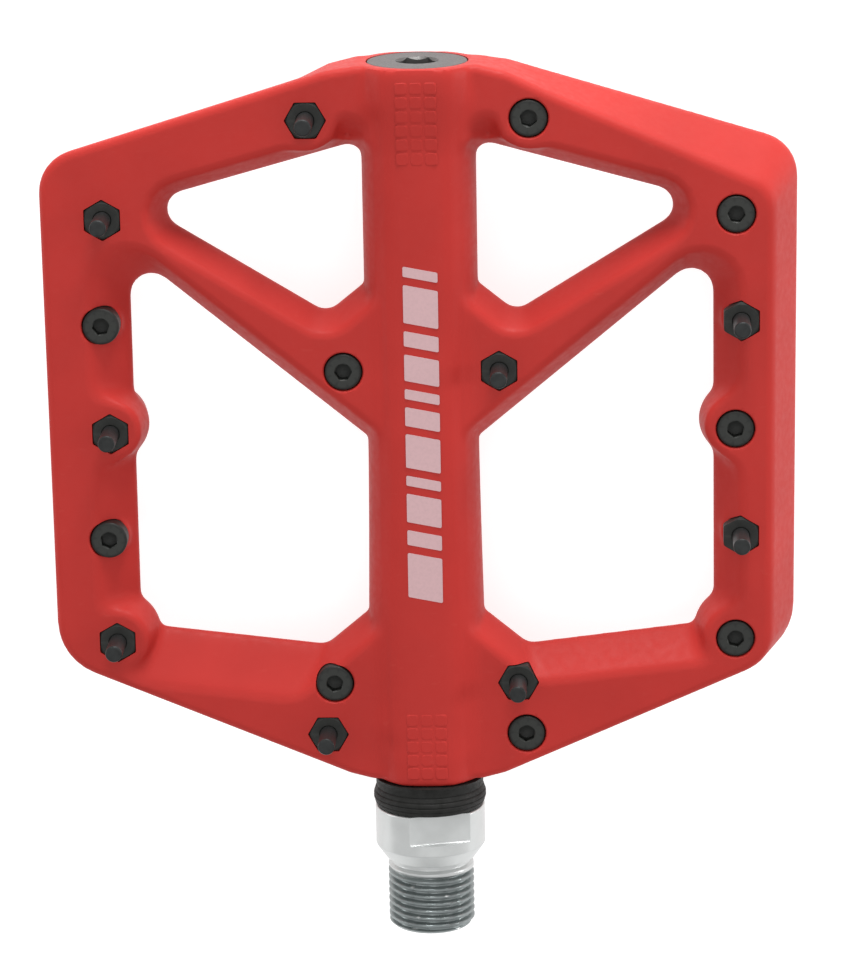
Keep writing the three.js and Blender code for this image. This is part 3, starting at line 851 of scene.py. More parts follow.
def bore_tool():
    """The stepped bore through the tube."""
    start, end = PLATFORM_LOW.y - PAST, PLATFORM_HIGH.y + PAST
    room, mouth, waist = BORE["room"], BORE["mouth"], BORE["waist"]
    _, bush, _, bush_end = turned_span("inboard_bush")
    _, bearing, bearing_start, _ = turned_span("bearing_outer_ring")
    _, rim, _, cap_face = turned_span("end_cap")
    rim_start = cap_face - BORE["rim_depth"]
    return turned([
        [0, start], [bush + room + mouth, start], [bush + room, PLATFORM_LOW.y + mouth],
        [bush + room, bush_end + 2 * room], [waist, bush_end + 2 * room], [waist, bearing_start - room],
        [bearing + room, bearing_start - room], [bearing + room, rim_start],
        [rim + BORE["rim_room"], rim_start], [rim + BORE["rim_room"], end], [0, end]], 128)


class PEDAL_OT_platform(bpy.types.Operator):
    """Make the moulded platform with its windows, bosses, bore and pin pockets"""

    bl_idname = "pedal.platform"
    bl_label = "Moulded platform"

    def execute(self, context):
        settings = context.scene.flat_pedal.platform
        field, corner, cell = platform_field(settings)
        points, quads = surface_of(field, corner, cell)
        piece = mesh_object("moulded_platform", points, quads.tolist(), 40)
        cut(piece, [[bore_tool()], *pin_tools()], 40)
        settle(piece, "platform", ["platform"], moulded_nylon())
        return {"FINISHED"}


# The small raised squares: first and last row at each end of the tube, their pitch and their shape.
MOULD_GRID = {
    "inboard": (-44.3, -35.1), "outboard": (58.4, 69.9), "pitch": 2.3,
    "square": 1.75, "corner": 0.3, "slope": 0.14, "sunk": 0.06, "shoulder": 0.2,
}


def raised_square(x, y, height):
    """A low pad with sloping sides, sunk a little into the tube's flat."""
    half, corner = MOULD_GRID["square"] / 2, MOULD_GRID["corner"]
    levels = [(half + MOULD_GRID["slope"], -MOULD_GRID["sunk"]), (half, height),
              (half - MOULD_GRID["shoulder"], height)]
    loops = []
    for size, lift in levels:
        loop = rounded_loop([[size, -size, corner], [size, size, corner], [-size, size, corner],
                             [-size, -size, corner]], 3) + [x, y]
        loops.append(np.column_stack([loop, TUBE_FLAT + tube_swell(loop[:, 1]) + lift]))
    points, faces = stacked(loops)
    return points, outward(points, faces)


def on_both_faces(parts):
    """The parts and their copies on the other face, half a turn about the spindle away."""
    return parts + [(points * [-1, 1, -1], faces) for points, faces in parts]


class PEDAL_OT_mould_grid(bpy.types.Operator):
    """Make the small raised squares near both ends of the tube, on both faces"""

    bl_idname = "pedal.mould_grid"
    bl_label = "Raised mould grid"

    def execute(self, context):
        settings = context.scene.flat_pedal.platform
        parts = []
        for first, last in (MOULD_GRID["inboard"], MOULD_GRID["outboard"]):
            rows = round((last - first) / MOULD_GRID["pitch"]) + 1
            for row in range(rows):
                for column in (-1, 0, 1):
                    place = (column * MOULD_GRID["pitch"], lerp(first, last, row / (rows - 1)))
                    parts.append(raised_square(*place, settings.grid_height / MM))
        piece = mesh_object("mould_grid", *merged(on_both_faces(parts)), 30)
        settle(piece, "platform", ["platform"], moulded_nylon())
        return {"FINISHED"}


# The printed bars: their lengths before they are fitted to the print, the gaps between them, how far
# their ends slant, the round of their corners, how far the row stands to the right, and how deep and how
# high the ink's film reaches.
BAR_LENGTHS = (7.2, 2.4, 4.6, 1.6, 5.4, 3.0, 1.6, 4.2, 2.4, 6.0, 1.6)
BAR = {"gap": 1.35, "slant": 1.1, "corner": 0.25, "aside": 0.2, "sunk": 0.05, "film": 0.02}


def printed_bar(half, start, end):
    """One slanted bar of ink on the tube's flat."""
    slant, corner = BAR["slant"] / 2, BAR["corner"]
    corners = [[half, start - slant, corner], [half, end - slant, corner],
               [-half, end + slant, corner], [-half, start + slant, corner]]
    loop = rounded_loop(corners, 4) + [BAR["aside"], 0]
    points, faces = stacked([np.column_stack([loop, np.full(len(loop), TUBE_FLAT + lift)])
                             for lift in (-BAR["sunk"], BAR["film"])])
    return points, outward(points, faces)


class PEDAL_OT_marking(bpy.types.Operator):
    """Print a plain row of slanted bars of uneven length along the tube, on both faces"""

    bl_idname = "pedal.marking"
    bl_label = "Printed bars"

    def execute(self, context):
        settings = context.scene.flat_pedal.marking
        low, high = settings.start / MM, settings.end / MM
        lengths = np.array(BAR_LENGTHS)
        lengths *= (high - low - BAR["gap"] * (len(lengths) - 1)) / lengths.sum()
        parts, y = [], low
        for length in lengths:
            parts.append(printed_bar(settings.width / MM / 2, y, y + length))
            y += length + BAR["gap"]
        piece = mesh_object("printed_bars", *merged(on_both_faces(parts)), 30)
        settle(piece, "platform", ["platform"], pad_print())
        return {"FINISHED"}


# ---------------------------------------------------------------- grip pins


# Screw sockets are turned by this many degrees from one pin to the next.
SOCKET_TURN = 47

# The cone that chamfers a screw's socket: how far its wide end, which is half of PAST outside the head,
# reaches past the socket's corners, and how deep the cone goes.
SOCKET_CONE = {"reach": 0.6, "depth": 0.22}


def screw_mesh(settings):
    """A socket head cap screw along +Z, its head's face at the frame's lower face."""
    head, shank = settings.head_diameter / MM / 2, settings.shank_diameter / MM / 2
    seat = FACE_BOTTOM + settings.head_height / MM
    tip = settings.tip_height / MM
    profile = rounded_profile([
        [0, FACE_BOTTOM], [head, FACE_BOTTOM, 0.42], [head, seat, 0.12], [shank, seat, 0.15],
        [shank, tip, 0.35], [0, tip]], 6)
    return turned(profile, 48)


def screw_socket(settings):
    """The hexagonal socket in a screw's head, with a drilled bottom and a chamfered mouth."""
    flats, depth, start = settings.socket_flats / MM, settings.socket_depth / MM, FACE_BOTTOM - PAST / 2
    floor, drill = FACE_BOTTOM + depth, flats / 2 * 0.97
    mouth = FACE_BOTTOM + SOCKET_CONE["depth"]
    hexagonal = prism(hexagon(flats, 0.08, False, 2), start, floor)
    drilled = turned([[0, start], [drill, start], [drill, floor + 0.02], [0, floor + 0.6]], 36)
    chamfer = turned([[0, start], [corner_radius(flats) + SOCKET_CONE["reach"], start],
                      [flats / 2 - 0.05, mouth], [0, mouth]], 48)
    return [[hexagonal], [drilled], [chamfer]]


class PEDAL_OT_pin_screws(bpy.types.Operator):
    """Make the grip pins: socket head cap screws through the platform"""

    bl_idname = "pedal.pin_screws"
    bl_label = "Pin screws"

    def execute(self, context):
        settings = context.scene.flat_pedal.pins
        pattern = mesh_object("screw_pattern", *screw_mesh(settings))
        cut(pattern, screw_socket(settings))
        pattern.data.transform(Matrix.Rotation(math.pi / 2, 4, "X"))
        heads, rods = coated_steel(), rod_steel()
        shank_start = FACE_BOTTOM * MM + settings.head_height + 0.2 * MM
        for number, x, y, way, _ in pin_places():
            turn = math.radians(SOCKET_TURN * int(number) % 60)
            piece = placed_copy(pattern, f"grip_pin_{number}", x, y, way, turn)
            settle(piece, "platform", [f"pin_screw_{number}"], heads)
            piece.data.materials.append(rods)
            for polygon in piece.data.polygons:
                polygon.material_index = int(polygon.center.z * way > shank_start)
        bpy.data.meshes.remove(pattern.data)
        return {"FINISHED"}


def placed_copy(pattern, name, x, y, way, turn):
    """A copy of a pattern made along +Z, turned over where its pin points down."""
    piece = pattern.copy()
    piece.data = pattern.data.copy()
    piece.name = piece.data.name = name
    bpy.context.scene.collection.objects.link(piece)
    over = Matrix.Rotation(0 if way > 0 else math.pi, 4, "X")
    piece.data.transform(Matrix.Translation((x * MM, y * MM, 0)) @ over @ Matrix.Rotation(turn, 4, "Z"))
    shade(piece)
    return piece


def nut_points(flats, bore, bottom, top, chamfer_radius, segments=72):
    """A chamfered hexagonal nut along +Y, its bore countersunk, two corners on the X axis."""
    angle = np.arange(segments) * 2 * math.pi / segments
    from_flat = angle % (math.pi / 3) - math.pi / 6
    side = np.minimum(flats / 2 / np.cos(from_flat), corner_radius(flats) - 0.06)
    drop = np.maximum(side - chamfer_radius, 0) * math.tan(math.radians(30))
    rows = [(bore + 0.3, bottom), (min(chamfer_radius, flats / 2 - 0.1), bottom), (side, bottom + drop),
            (side, top - drop), (chamfer_radius, top), (bore + 0.12, top), (bore, top - 0.12),
            (bore, bottom + 0.3)]
    points = []
    for radius, y in rows:
        points.append(np.column_stack([radius * np.cos(angle), np.broadcast_to(y, segments),
                                       -radius * np.sin(angle)]))
    points = np.vstack(points)
    return points, outward(points, quads_of_grid(len(rows), segments, closed_rows=True))


class PEDAL_OT_pin_nuts(bpy.types.Operator):
    """Make the chamfered nuts that hold the pins"""

    bl_idname = "pedal.pin_nuts"
    bl_label = "Pin nuts"

    def execute(self, context):
        settings = context.scene.flat_pedal.pins
        flats, bore = settings.nut_flats / MM, settings.shank_diameter / MM / 2 + 0.02
        points, faces = nut_points(flats, bore, FACE_TOP - settings.nut_height / MM, FACE_TOP,
                                   flats / 2 - 0.06)
        pattern = mesh_object("nut_pattern", upright(points), faces, 22)
        steel = coated_steel()
        for number, x, y, way, along_x in pin_places():
            turn = 0 if along_x else math.pi / 2
            piece = placed_copy(pattern, f"pin_nut_{number}_chamfered", x, y, way, turn)
            shade(piece, 22)
            settle(piece, "platform", [f"pin_nut_{number}"], steel)
        bpy.data.meshes.remove(pattern.data)
        return {"FINISHED"}


# ---------------------------------------------------------------- the spindle


# The spindle's turned outline, as [radius, y, corner round].
SPINDLE_PROFILE = [
    [0, -71.6], [1.5, -72.95, 0.1], [6.3, -72.95, 0.35], [7.14, -72.2, 0.25], [7.14, -62.35, 0.1],
    [6.55, -61.9, 0.2], [6.55, -61.2, 0.12], [7.05, -60.9, 0.1], [7.5, -60.9, 0.12], [9.1, -58.6, 0.6],
    [9.1, -51.9, 0.25], [7.0, -51.9, 0.15], [7.0, -47.2, 0.3], [6.0, -47.2, 0.15], [6.0, -29.2, 0.3],
    [5.0, -26.0, 0.8], [5.0, 55.0, 0.2], [3.95, 55.0, 0.1], [3.95, 60.1, 0.15], [3.4, 60.1, 0.1],
    [3.4, 65.8, 0.15], [2.8, 66.4, 0.1], [0, 66.4],
]

# Its threads: start, end, radius over the crests, pitch, depth, and the step between the mesh's rows.
THREADS = [
    {"start": -72.95, "end": -62.2, "crest": 7.14, "pitch": 1.27, "depth": 0.72, "step": 0.085},
    {"start": 60.6, "end": 66.2, "crest": 3.4, "pitch": 1.0, "depth": 0.42, "step": 0.1},
]

# A ridge's section, as how high and how steep its flanks are over one pitch, the length over which a
# thread runs in, and out in pitches, and the radius below which the end faces stay plain.
RIDGE = {"level": 1.32, "slope": 3.1, "run_in": 0.3, "run_out": 0.9, "least": 2.5}

# The two spanner flats: distance across them, ends along the spindle, turn about it, fillet at the wall.
WRENCH = {"across": 15.0, "start": -56.8, "end": -51.4, "turn": math.radians(14), "fillet": 0.3}


def dense_rows(profile, spans):
    """Adds rows to a profile inside each [start, end, step] span of Y."""
    out = [profile[0]]
    for before, after in zip(profile[:-1], profile[1:]):
        count = 1
        for start, end, step in spans:
            if min(before[1], after[1]) >= start - 1e-6 and max(before[1], after[1]) <= end + 1e-6:
                count = max(count, math.ceil(abs(after[1] - before[1]) / step))
        out.extend(lerp(before, after, share) for share in np.linspace(0, 1, count + 1)[1:])
    return np.array(out)


def threaded(angle, radius, along):
    """Cuts right-hand threads into the turned outline."""
    out = radius.copy()
    for thread in THREADS:
        phase = (along / thread["pitch"] + angle / (2 * math.pi)) % 1.0
        ridge = np.clip(RIDGE["level"] - np.abs(phase - 0.5) * RIDGE["slope"], 0, 1)
        ridge = ridge * ridge * (3 - 2 * ridge)
        run_in = np.clip((along - thread["start"]) / RIDGE["run_in"], 0, 1)
        run_out = np.clip((thread["end"] - along) / (RIDGE["run_out"] * thread["pitch"]), 0, 1)
        floor = np.minimum(out, thread["crest"] - thread["depth"] * run_out * run_in)
        inside = (along > thread["start"]) & (along < thread["end"]) & (radius > RIDGE["least"])
        out = np.where(inside, np.minimum(out, floor + (out - floor) * ridge), out)
    return out


def wrench_tool(side):
    """One spanner flat's cut, with a small fillet at its end wall."""
    start, end, fillet, flat = WRENCH["start"], WRENCH["end"], WRENCH["fillet"], WRENCH["across"] / 2
    over, aside = 12.0, 11.0  # past the collar, upwards and to both sides
    rows = [[start, over], [start, flat + fillet]]
    rows += [[start + fillet - fillet * math.cos(t), flat + fillet - fillet * math.sin(t)]
             for t in np.linspace(0.2, math.pi / 2, 6)]
    rows += [[end, flat], [end, over]]
    points, faces = stacked([np.array([[x, y, side * z] for y, z in rows]) for x in (-aside, aside)])
    return points @ np.array(Matrix.Rotation(WRENCH["turn"], 3, "Y")).T, faces


class PEDAL_OT_spindle(bpy.types.Operator):
    """Make the spindle with its cut thread, collar, spanner flats and journals"""

    bl_idname = "pedal.spindle"
    bl_label = "Spindle"

    def execute(self, context):
        spans = [(thread["start"], thread["end"] + 0.4, thread["step"]) for thread in THREADS]
        profile = dense_rows(rounded_profile(SPINDLE_PROFILE, 5), spans)
        piece = mesh_object("plated_spindle", *turned(profile, 128, threaded), 30)
        cut(piece, [[wrench_tool(1), wrench_tool(-1)]], 30)
        settle(piece, "spindle", ["spindle"], chromed_steel())
        piece.data.materials.append(thread_steel())
        start, end = (THREADS[0]["start"] + 0.05) * MM, (THREADS[0]["end"] - RIDGE["run_out"]) * MM
        for polygon in piece.data.polygons:
            polygon.material_index = int(start < polygon.center.y < end)
        return {"FINISHED"}


# ---------------------------------------------------------------- seal, bush and bearing


# The seal's waisted outline from the platform outwards, as [share of its length, depth under its
# largest radius], the ribs on it, and the gaps that it leaves at the collar and under the platform.
SEAL_WAIST = np.array([[0, 0.16], [0.12, 0.42], [0.34, 0.46], [0.6, 0.02], [0.74, 0], [0.9, 0.22],
                       [1, 0.5]])
SEAL_RIBS = {"depth": 0.14, "pitch": 0.82, "start": 0.3, "end": 0.97, "sharpness": 6}
SEAL_GAPS = {"collar": 0.52, "platform": 0.05}


class PEDAL_OT_seal(bpy.types.Operator):
    """Make the ribbed rubber seal between the platform and the collar"""

    bl_idname = "pedal.seal"
    bl_label = "Rubber seal"

    def execute(self, context):
        inner, outer, start, end = turned_span("seal_boot")
        start, end = start + SEAL_GAPS["collar"], TUBE_START - SEAL_GAPS["platform"]
        ys = np.linspace(start + 0.12, end - 0.02, 56)
        share = (end - ys) / (end - start)
        waist = outer - np.interp(share, *SEAL_WAIST.T)
        wave = np.clip(np.cos((ys - start) * 2 * math.pi / SEAL_RIBS["pitch"]), 0, 1)
        ribbed = (share > SEAL_RIBS["start"]) & (share < SEAL_RIBS["end"])
        grooves = SEAL_RIBS["depth"] * wave ** SEAL_RIBS["sharpness"] * ribbed
        profile = [[inner, start], *np.column_stack([waist - grooves, ys]), [inner, end]]
        piece = mesh_object("ribbed_seal", *turned(profile, 128), 50)
        settle(piece, "platform", ["seal_boot"], seal_rubber())
        return {"FINISHED"}


# How many sides the CAD's turned surfaces have.
TURNED_SIDES = 32


def clear_bore(radius):
    """A round bore's radius, widened in the ratio of corner to side of the CAD's one, for clearance."""
    return radius / math.cos(math.pi / TURNED_SIDES)


def ring_profile(inner, outer, start, end, ease):
    """A ring's section with eased edges."""
    return [[inner, start + ease], [inner + ease, start], [outer - ease, start], [outer, start + ease],
            [outer, end - ease], [outer - ease, end], [inner + ease, end], [inner, end - ease]]


def turned_object(name, profile, segments, sharp_angle=30):
    """A piece turned from a closed section, whichever way round the section runs."""
    points, faces = turned(profile, segments)
    return mesh_object(name, points, outward(points, faces), sharp_angle)


# Oil grooves in the bush: their places as shares of its length, and each one's section.
OIL_GROOVES = {
    "places": (0.3, 0.5, 0.7),
    "section": ((0.4, 0.03), (0.25, 0.22), (-0.25, 0.22), (-0.4, 0.03)),
}


class PEDAL_OT_bush(bpy.types.Operator):
    """Make the plain bush at the crank end, with oil grooves"""

    bl_idname = "pedal.bush"
    bl_label = "Plain bush"

    def execute(self, context):
        inner, outer, start, end = turned_span("inboard_bush")
        profile = ring_profile(clear_bore(inner), outer, start, end, 0.25)
        grooves = [[inner + depth, lerp(end, start, share) + beside] for share in OIL_GROOVES["places"]
                   for beside, depth in OIL_GROOVES["section"]]
        piece = mesh_object("grooved_bush", *turned([*profile, *grooves], 96), 35)
        settle(piece, "platform", ["inboard_bush"], bush_polymer())
        return {"FINISHED"}


# The bearing: how far the rings' lands stand off the pitch circle, the groove's extra radius round a
# ball, the rings' chamfers, how deep the shields are hollowed, and the room in the cage's pockets.
BEARING = {"land": 0.8, "groove": 0.12, "outer_chamfer": 0.25, "inner_chamfer": 0.2, "hollow": 0.072,
           "pocket": 0.15}


def bearing_groove(side, pitch, groove, middle, steps=14):
    """The groove's points in one ring, from one side of the ball to the other."""
    half = math.acos(min(BEARING["land"] / groove, 1))
    return [[pitch + side * groove * math.cos(t), middle + groove * math.sin(t)]
            for t in np.linspace(-half, half, steps)]


def bearing_rings(pitch, ball, steel):
    """The outer and inner rings, with a groove for the balls."""
    _, far, start, end = turned_span("bearing_outer_ring")
    near, _, _, _ = turned_span("bearing_inner_ring")
    middle, groove, land = (start + end) / 2, ball + BEARING["groove"], BEARING["land"]
    big, small = BEARING["outer_chamfer"], BEARING["inner_chamfer"]
    outer = [[far, end - big], [far - big, end], [pitch + land, end],
             *bearing_groove(1, pitch, groove, middle)[::-1], [pitch + land, start],
             [far - big, start], [far, start + big]]
    inner = [[near, start + small], [near + small, start], [pitch - land, start],
             *bearing_groove(-1, pitch, groove, middle), [pitch - land, end],
             [near + small, end], [near, end - small]]
    outer_race = turned_object("bearing_race_outer", outer, 96)
    settle(outer_race, "platform", ["bearing_outer_ring"], steel)
    inner_race = turned_object("bearing_race_inner", inner, 96)
    settle(inner_race, "spindle", ["bearing_inner_ring"], steel)


def bearing_cage(ball, polymer):
    """The cage, with a pocket drilled for each ball."""
    inner, outer, start, end = turned_span("bearing_cage")
    piece = turned_object("pocketed_cage", ring_profile(clear_bore(inner), outer, start, end, 0.08), 144)
    room = ball + BEARING["pocket"]
    drills = []
    for index in range(BALL_COUNT):
        at = node_middle(f"bearing_ball_{index + 1}")
        drill, faces = turned([[0, -1], [room, -1], [room, 1], [0, 1]], 32)
        out = Vector((at.x, 0, at.z)).normalized()
        turn = np.array(Vector((0, 1, 0)).rotation_difference(out).to_matrix())
        drills.append((drill @ turn.T + [at.x, at.y, at.z], faces))
    cut(piece, [drills], 30)
    settle(piece, "ball_cage", ["bearing_cage"], polymer)


def bearing_balls(ball, steel):
    """The balls, each turned about its own middle."""
    for index in range(BALL_COUNT):
        at = node_middle(f"bearing_ball_{index + 1}")
        profile = [[ball * math.cos(t), at.y + ball * math.sin(t)]
                   for t in np.linspace(-math.pi / 2, math.pi / 2, 25)]
        profile[0][0] = profile[-1][0] = 0
        points, faces = turned(profile, 36)
        piece = mesh_object(f"ground_ball_{index + 1}", points + [at.x, 0, at.z], faces, 60)
        settle(piece, "ball_cage", [f"bearing_ball_{index + 1}"], steel)


def bearing_shield(side, steel):
    """One pressed shield, hollowed a little on the side towards the balls."""
    bore, rim, low, high = turned_span(f"bearing_shield_{side}")
    across = np.linspace(bore + 0.02, rim, 9)
    lift = BEARING["hollow"] * np.sin(np.linspace(0, math.pi, 9)) * (1 if side == "outer" else -1)
    profile = [*np.column_stack([across, low + np.maximum(lift, 0)]),
               *np.column_stack([across, high + np.minimum(lift, 0)])[::-1]]
    piece = turned_object(f"pressed_shield_{side}", profile, 96)
    settle(piece, "platform", [f"bearing_shield_{side}"], steel)


class PEDAL_OT_bearing(bpy.types.Operator):
    """Make the ball bearing: two grooved rings, cage, balls and shields"""

    bl_idname = "pedal.bearing"
    bl_label = "Ball bearing"

    def execute(self, context):
        steel = bearing_steel()
        ball_low, ball_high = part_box("bearing_ball_1")
        ball = (ball_high.y - ball_low.y) / MM / 2
        bearing_rings(node_middle("bearing_ball_1").x, ball, steel)
        bearing_cage(ball, bush_polymer())
        bearing_balls(ball, steel)
        bearing_shield("inner", steel)
        bearing_shield("outer", steel)
        return {"FINISHED"}


class PEDAL_OT_lock_nut(bpy.types.Operator):
    """Make the washer and the lock nut that hold the bearing on the spindle"""

    bl_idname = "pedal.lock_nut"
    bl_label = "Washer and lock nut"

    def execute(self, context):
        steel = bearing_steel()
        inner, outer, start, end = turned_span("lock_washer")
        washer = turned_object("eased_washer", ring_profile(clear_bore(inner), outer, start, end, 0.12), 96)
        settle(washer, "spindle", ["lock_washer"], steel)
        low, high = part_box("lock_nut")
        flats = min(high.x - low.x, high.z - low.z) / MM
        points, faces = nut_points(flats, 3.62, low.y / MM, high.y / MM, flats / 2 - 0.2, 96)
        nut = mesh_object("lock_nut_chamfered", points, faces, 22)
        settle(nut, "spindle", ["lock_nut"], steel)
        return {"FINISHED"}


# ---------------------------------------------------------------- the end cap


# The cap, from its face inwards: underside of the rim, start of the O-ring's groove and the cavity, and
# the radii of the skirt's inside, its outside and the groove's floor.
CAP = {"rim": 1.5, "groove": 2.95, "cavity": 4.85, "inside": 6.7, "skirt": 7.85, "floor": 7.1}


def cap_tools(settings, face):
    """The cap's socket: a hexagon, a drilled bottom and a chamfered mouth."""
    flats, chamfer = settings.socket_flats / MM, settings.socket_chamfer / MM
    bottom, past, drill = face - settings.socket_depth / MM, face + PAST, flats / 2 - 0.1
    hexagonal = prism(hexagon(flats, 0.15, True, 3), bottom, past)
    drilled = turned([[0, bottom - 0.35], [drill, bottom + 0.05], [drill, past], [0, past]], 64)
    mouth = turned([[0, face - chamfer], [flats / 2 - 0.02, face - chamfer],
                    [corner_radius(flats) + chamfer * 0.45 + PAST, past], [0, past]], 96)
    return [[hexagonal], [drilled], [mouth]]


class PEDAL_OT_end_cap(bpy.types.Operator):
    """Make the end cap with its hexagonal socket, and the O-ring under its rim"""

    bl_idname = "pedal.end_cap"
    bl_label = "End cap"

    def execute(self, context):
        settings = context.scene.flat_pedal.cap
        _, rim, end, face = turned_span("end_cap")
        under, groove, cavity = (face - CAP[name] for name in ("rim", "groove", "cavity"))
        inside, skirt, floor = (CAP[name] for name in ("inside", "skirt", "floor"))
        profile = rounded_profile([
            [0, cavity], [inside, cavity, 0.4], [inside, end, 0.2], [skirt, end, 0.3],
            [skirt, groove, 0.08], [floor, groove, 0.08], [floor, under, 0.08], [rim, under, 0.12],
            [rim, face, 0.3], [0, face]], 5)
        piece = turned_object("socket_end_cap", profile, 128, 28)
        cut(piece, cap_tools(settings, face), 28)
        settle(piece, "platform", ["end_cap"], anodised_aluminium())
        inner, outer, low, high = turned_span("cap_o_ring")
        cord, major = (high - low) / 2, (inner + outer) / 2
        ring = [[major + cord * math.cos(t), (low + high) / 2 + cord * math.sin(t)]
                for t in np.arange(20) * 2 * math.pi / 20]
        seal = turned_object("cap_sealing_ring", ring, 96, 60)
        settle(seal, "platform", ["cap_o_ring"], seal_rubber())
        return {"FINISHED"}


# ---------------------------------------------------------------- stage


# The soft square lights as (name, place, size), in metres. Each points at the pedal's middle.
LIGHTS = (
    ("key_light", (0.1, 0.88, 0.16), 0.36),
    ("top_light", (0.0, 0.1, 0.95), 0.8),
    ("right_light", (0.85, 0.1, 0.08), 0.18),
    ("left_light", (-0.85, 0.0, 0.08), 0.18),
)

# Half the floor's side and its gap under the pedal, in metres, and the tones of its paper.
FLOOR = {"half": 3.0, "gap": 0.0002, "dark": (0.5, 0.5, 0.5, 1), "light": (0.54, 0.54, 0.54, 1)}


def area_light(name, place, size, power):
    """A square soft light of this power in watts."""
    data = bpy.data.lights.new(name, "AREA")
    data.shape = "SQUARE"
    data.size = size
    data.energy = power
    lamp = bpy.data.objects.new(name, data)
    bpy.context.scene.collection.objects.link(lamp)
    lamp.location = place
    lamp.rotation_euler = (-Vector(place)).to_track_quat("-Z", "Y").to_euler()


class PEDAL_OT_stage(bpy.types.Operator):
    """Make the floor, the soft lights and the camera"""

    bl_idname = "pedal.stage"
    bl_label = "Stage"

    def execute(self, context):
        scene = context.scene
        settings = scene.flat_pedal.stage
        self.floor(settings)
        world = bpy.data.worlds.new("soft_room")
        world.use_nodes = True
        background = world.node_tree.nodes["Background"]
        background.inputs["Color"].default_value = (1, 1, 1, 1)
        background.inputs["Strength"].default_value = settings.room
        scene.world = world
        powers = (settings.key, settings.fill, settings.side, settings.side / 2)
        for light, power in zip(LIGHTS, powers):
            area_light(*light, power)
        scene.view_settings.view_transform = "Standard"
        self.camera(scene, settings)
        return {"FINISHED"}

    def floor(self, settings):
        """White paper just under the pedal, glowing a little so that it stays white."""
        half, level = FLOOR["half"], CAD_BOX[0].z - FLOOR["gap"]
        corners = [[-half, -half, level], [half, -half, level], [half, half, level], [-half, half, level]]
        floor = mesh_object("studio_floor", np.array(corners) / MM, [(0, 1, 2, 3)])
        paper = Finish("pale_paper", Roughness=0.9)
        paper.colour(paper.blend(paper.noise(0.02, 3), FLOOR["dark"], FLOOR["light"]))
        paper.shader.inputs["Emission Color"].default_value = (1, 1, 1, 1)
        paper.shader.inputs["Emission Strength"].default_value = settings.table
        floor.data.materials.append(paper.material)
        floor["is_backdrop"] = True

    def camera(self, scene, settings):
        """The camera stands over the upper face and leans towards the outboard end."""
        data = bpy.data.cameras.new("pedal_camera")
        data.sensor_fit = "VERTICAL"
        data.sensor_height = 36.0
        data.lens = settings.lens / MM
        camera = bpy.data.objects.new("pedal_camera", data)
        scene.collection.objects.link(camera)
        lean = (Matrix.Rotation(settings.roll, 4, "Z") @ Matrix.Rotation(settings.sway, 4, "Y")
                @ Matrix.Rotation(settings.tilt, 4, "X"))
        aim = Matrix.Translation((0, settings.aim_along, 0))
        stand = Matrix.Translation((-settings.aim_across, 0, settings.distance))
        camera.matrix_world = aim @ lean.inverted() @ stand
        scene.camera = camera


# ---------------------------------------------------------------- settings


# What every length, colour, angle and power that a user may change has in common.
LENGTH = {"unit": "LENGTH", "subtype": "DISTANCE", "precision": 5}
COLOUR = {"subtype": "COLOR", "min": 0.0, "max": 1.0}
ANGLE = {"unit": "ROTATION", "subtype": "ANGLE"}
POWER = {"unit": "POWER", "subtype": "POWER"}


class PlatformSettings(bpy.types.PropertyGroup):
    """The moulded platform"""

    cell: FloatProperty(name="Mesh cell", description="Size of the mesh's quads", default=0.0005,
                        min=0.0003, **LENGTH)
    edge_round: FloatProperty(name="Edge rounding", description="Rounding of the frame's outer edges",
                              default=0.0011, min=0.0002, **LENGTH)
    window_round: FloatProperty(name="Window rounding", description="Rounding of the windows' edges",
                                default=0.0008, min=0.0002, **LENGTH)
    tube_fillet: FloatProperty(name="Tube fillet", description="How wide the arms blend into the tube",
                               default=0.0018, min=0.0005, **LENGTH)
    grid_height: FloatProperty(name="Grid height", description="How far the small squares stand up",
                               default=0.00004, min=0.0, **LENGTH)
    colour: FloatVectorProperty(name="Colour", description="Nylon colour",
                                default=display(178, 47, 42)[:3], **COLOUR)
    gloss: FloatProperty(name="Roughness", description="Roughness of the moulded grain", default=0.5,
                         min=0.1, max=1.0, subtype="FACTOR")


class MarkingSettings(bpy.types.PropertyGroup):
    """The printed bars along the tube"""

    start: FloatProperty(name="Start", description="Inboard end of the print", default=-0.0145, **LENGTH)
    end: FloatProperty(name="End", description="Outboard end of the print", default=0.0405, **LENGTH)
    width: FloatProperty(name="Width", description="Width of the print", default=0.0056, **LENGTH)
    colour: FloatVectorProperty(name="Ink", description="Colour of the ink",
                                default=display(200, 163, 166)[:3], **COLOUR)


class PinSettings(bpy.types.PropertyGroup):
    """The screws and nuts that make the grip pins"""

    head_diameter: FloatProperty(name="Head", description="Diameter of a screw's head", default=0.006,
                                 **LENGTH)
    head_height: FloatProperty(name="Head height", description="Height of a screw's head", default=0.003,
                               **LENGTH)
    shank_diameter: FloatProperty(name="Shank", description="Diameter of the pin itself", default=0.0028,
                                  **LENGTH)
    tip_height: FloatProperty(name="Tip", description="Height of a pin's tip over mid thickness",
                              default=CAD_BOX[1].z, **LENGTH)
    socket_flats: FloatProperty(name="Socket", description="Width of the socket across flats",
                                default=0.0025, **LENGTH)
    socket_depth: FloatProperty(name="Socket depth", description="Depth of the socket", default=0.0016,
                                **LENGTH)
    nut_flats: FloatProperty(name="Nut", description="Width of a nut across flats", default=0.0056,
                             **LENGTH)
    nut_height: FloatProperty(name="Nut height", description="Height of a nut", default=0.0024, **LENGTH)
    colour: FloatVectorProperty(name="Colour", description="Colour of the coating",
                                default=display(33, 34, 32)[:3], **COLOUR)


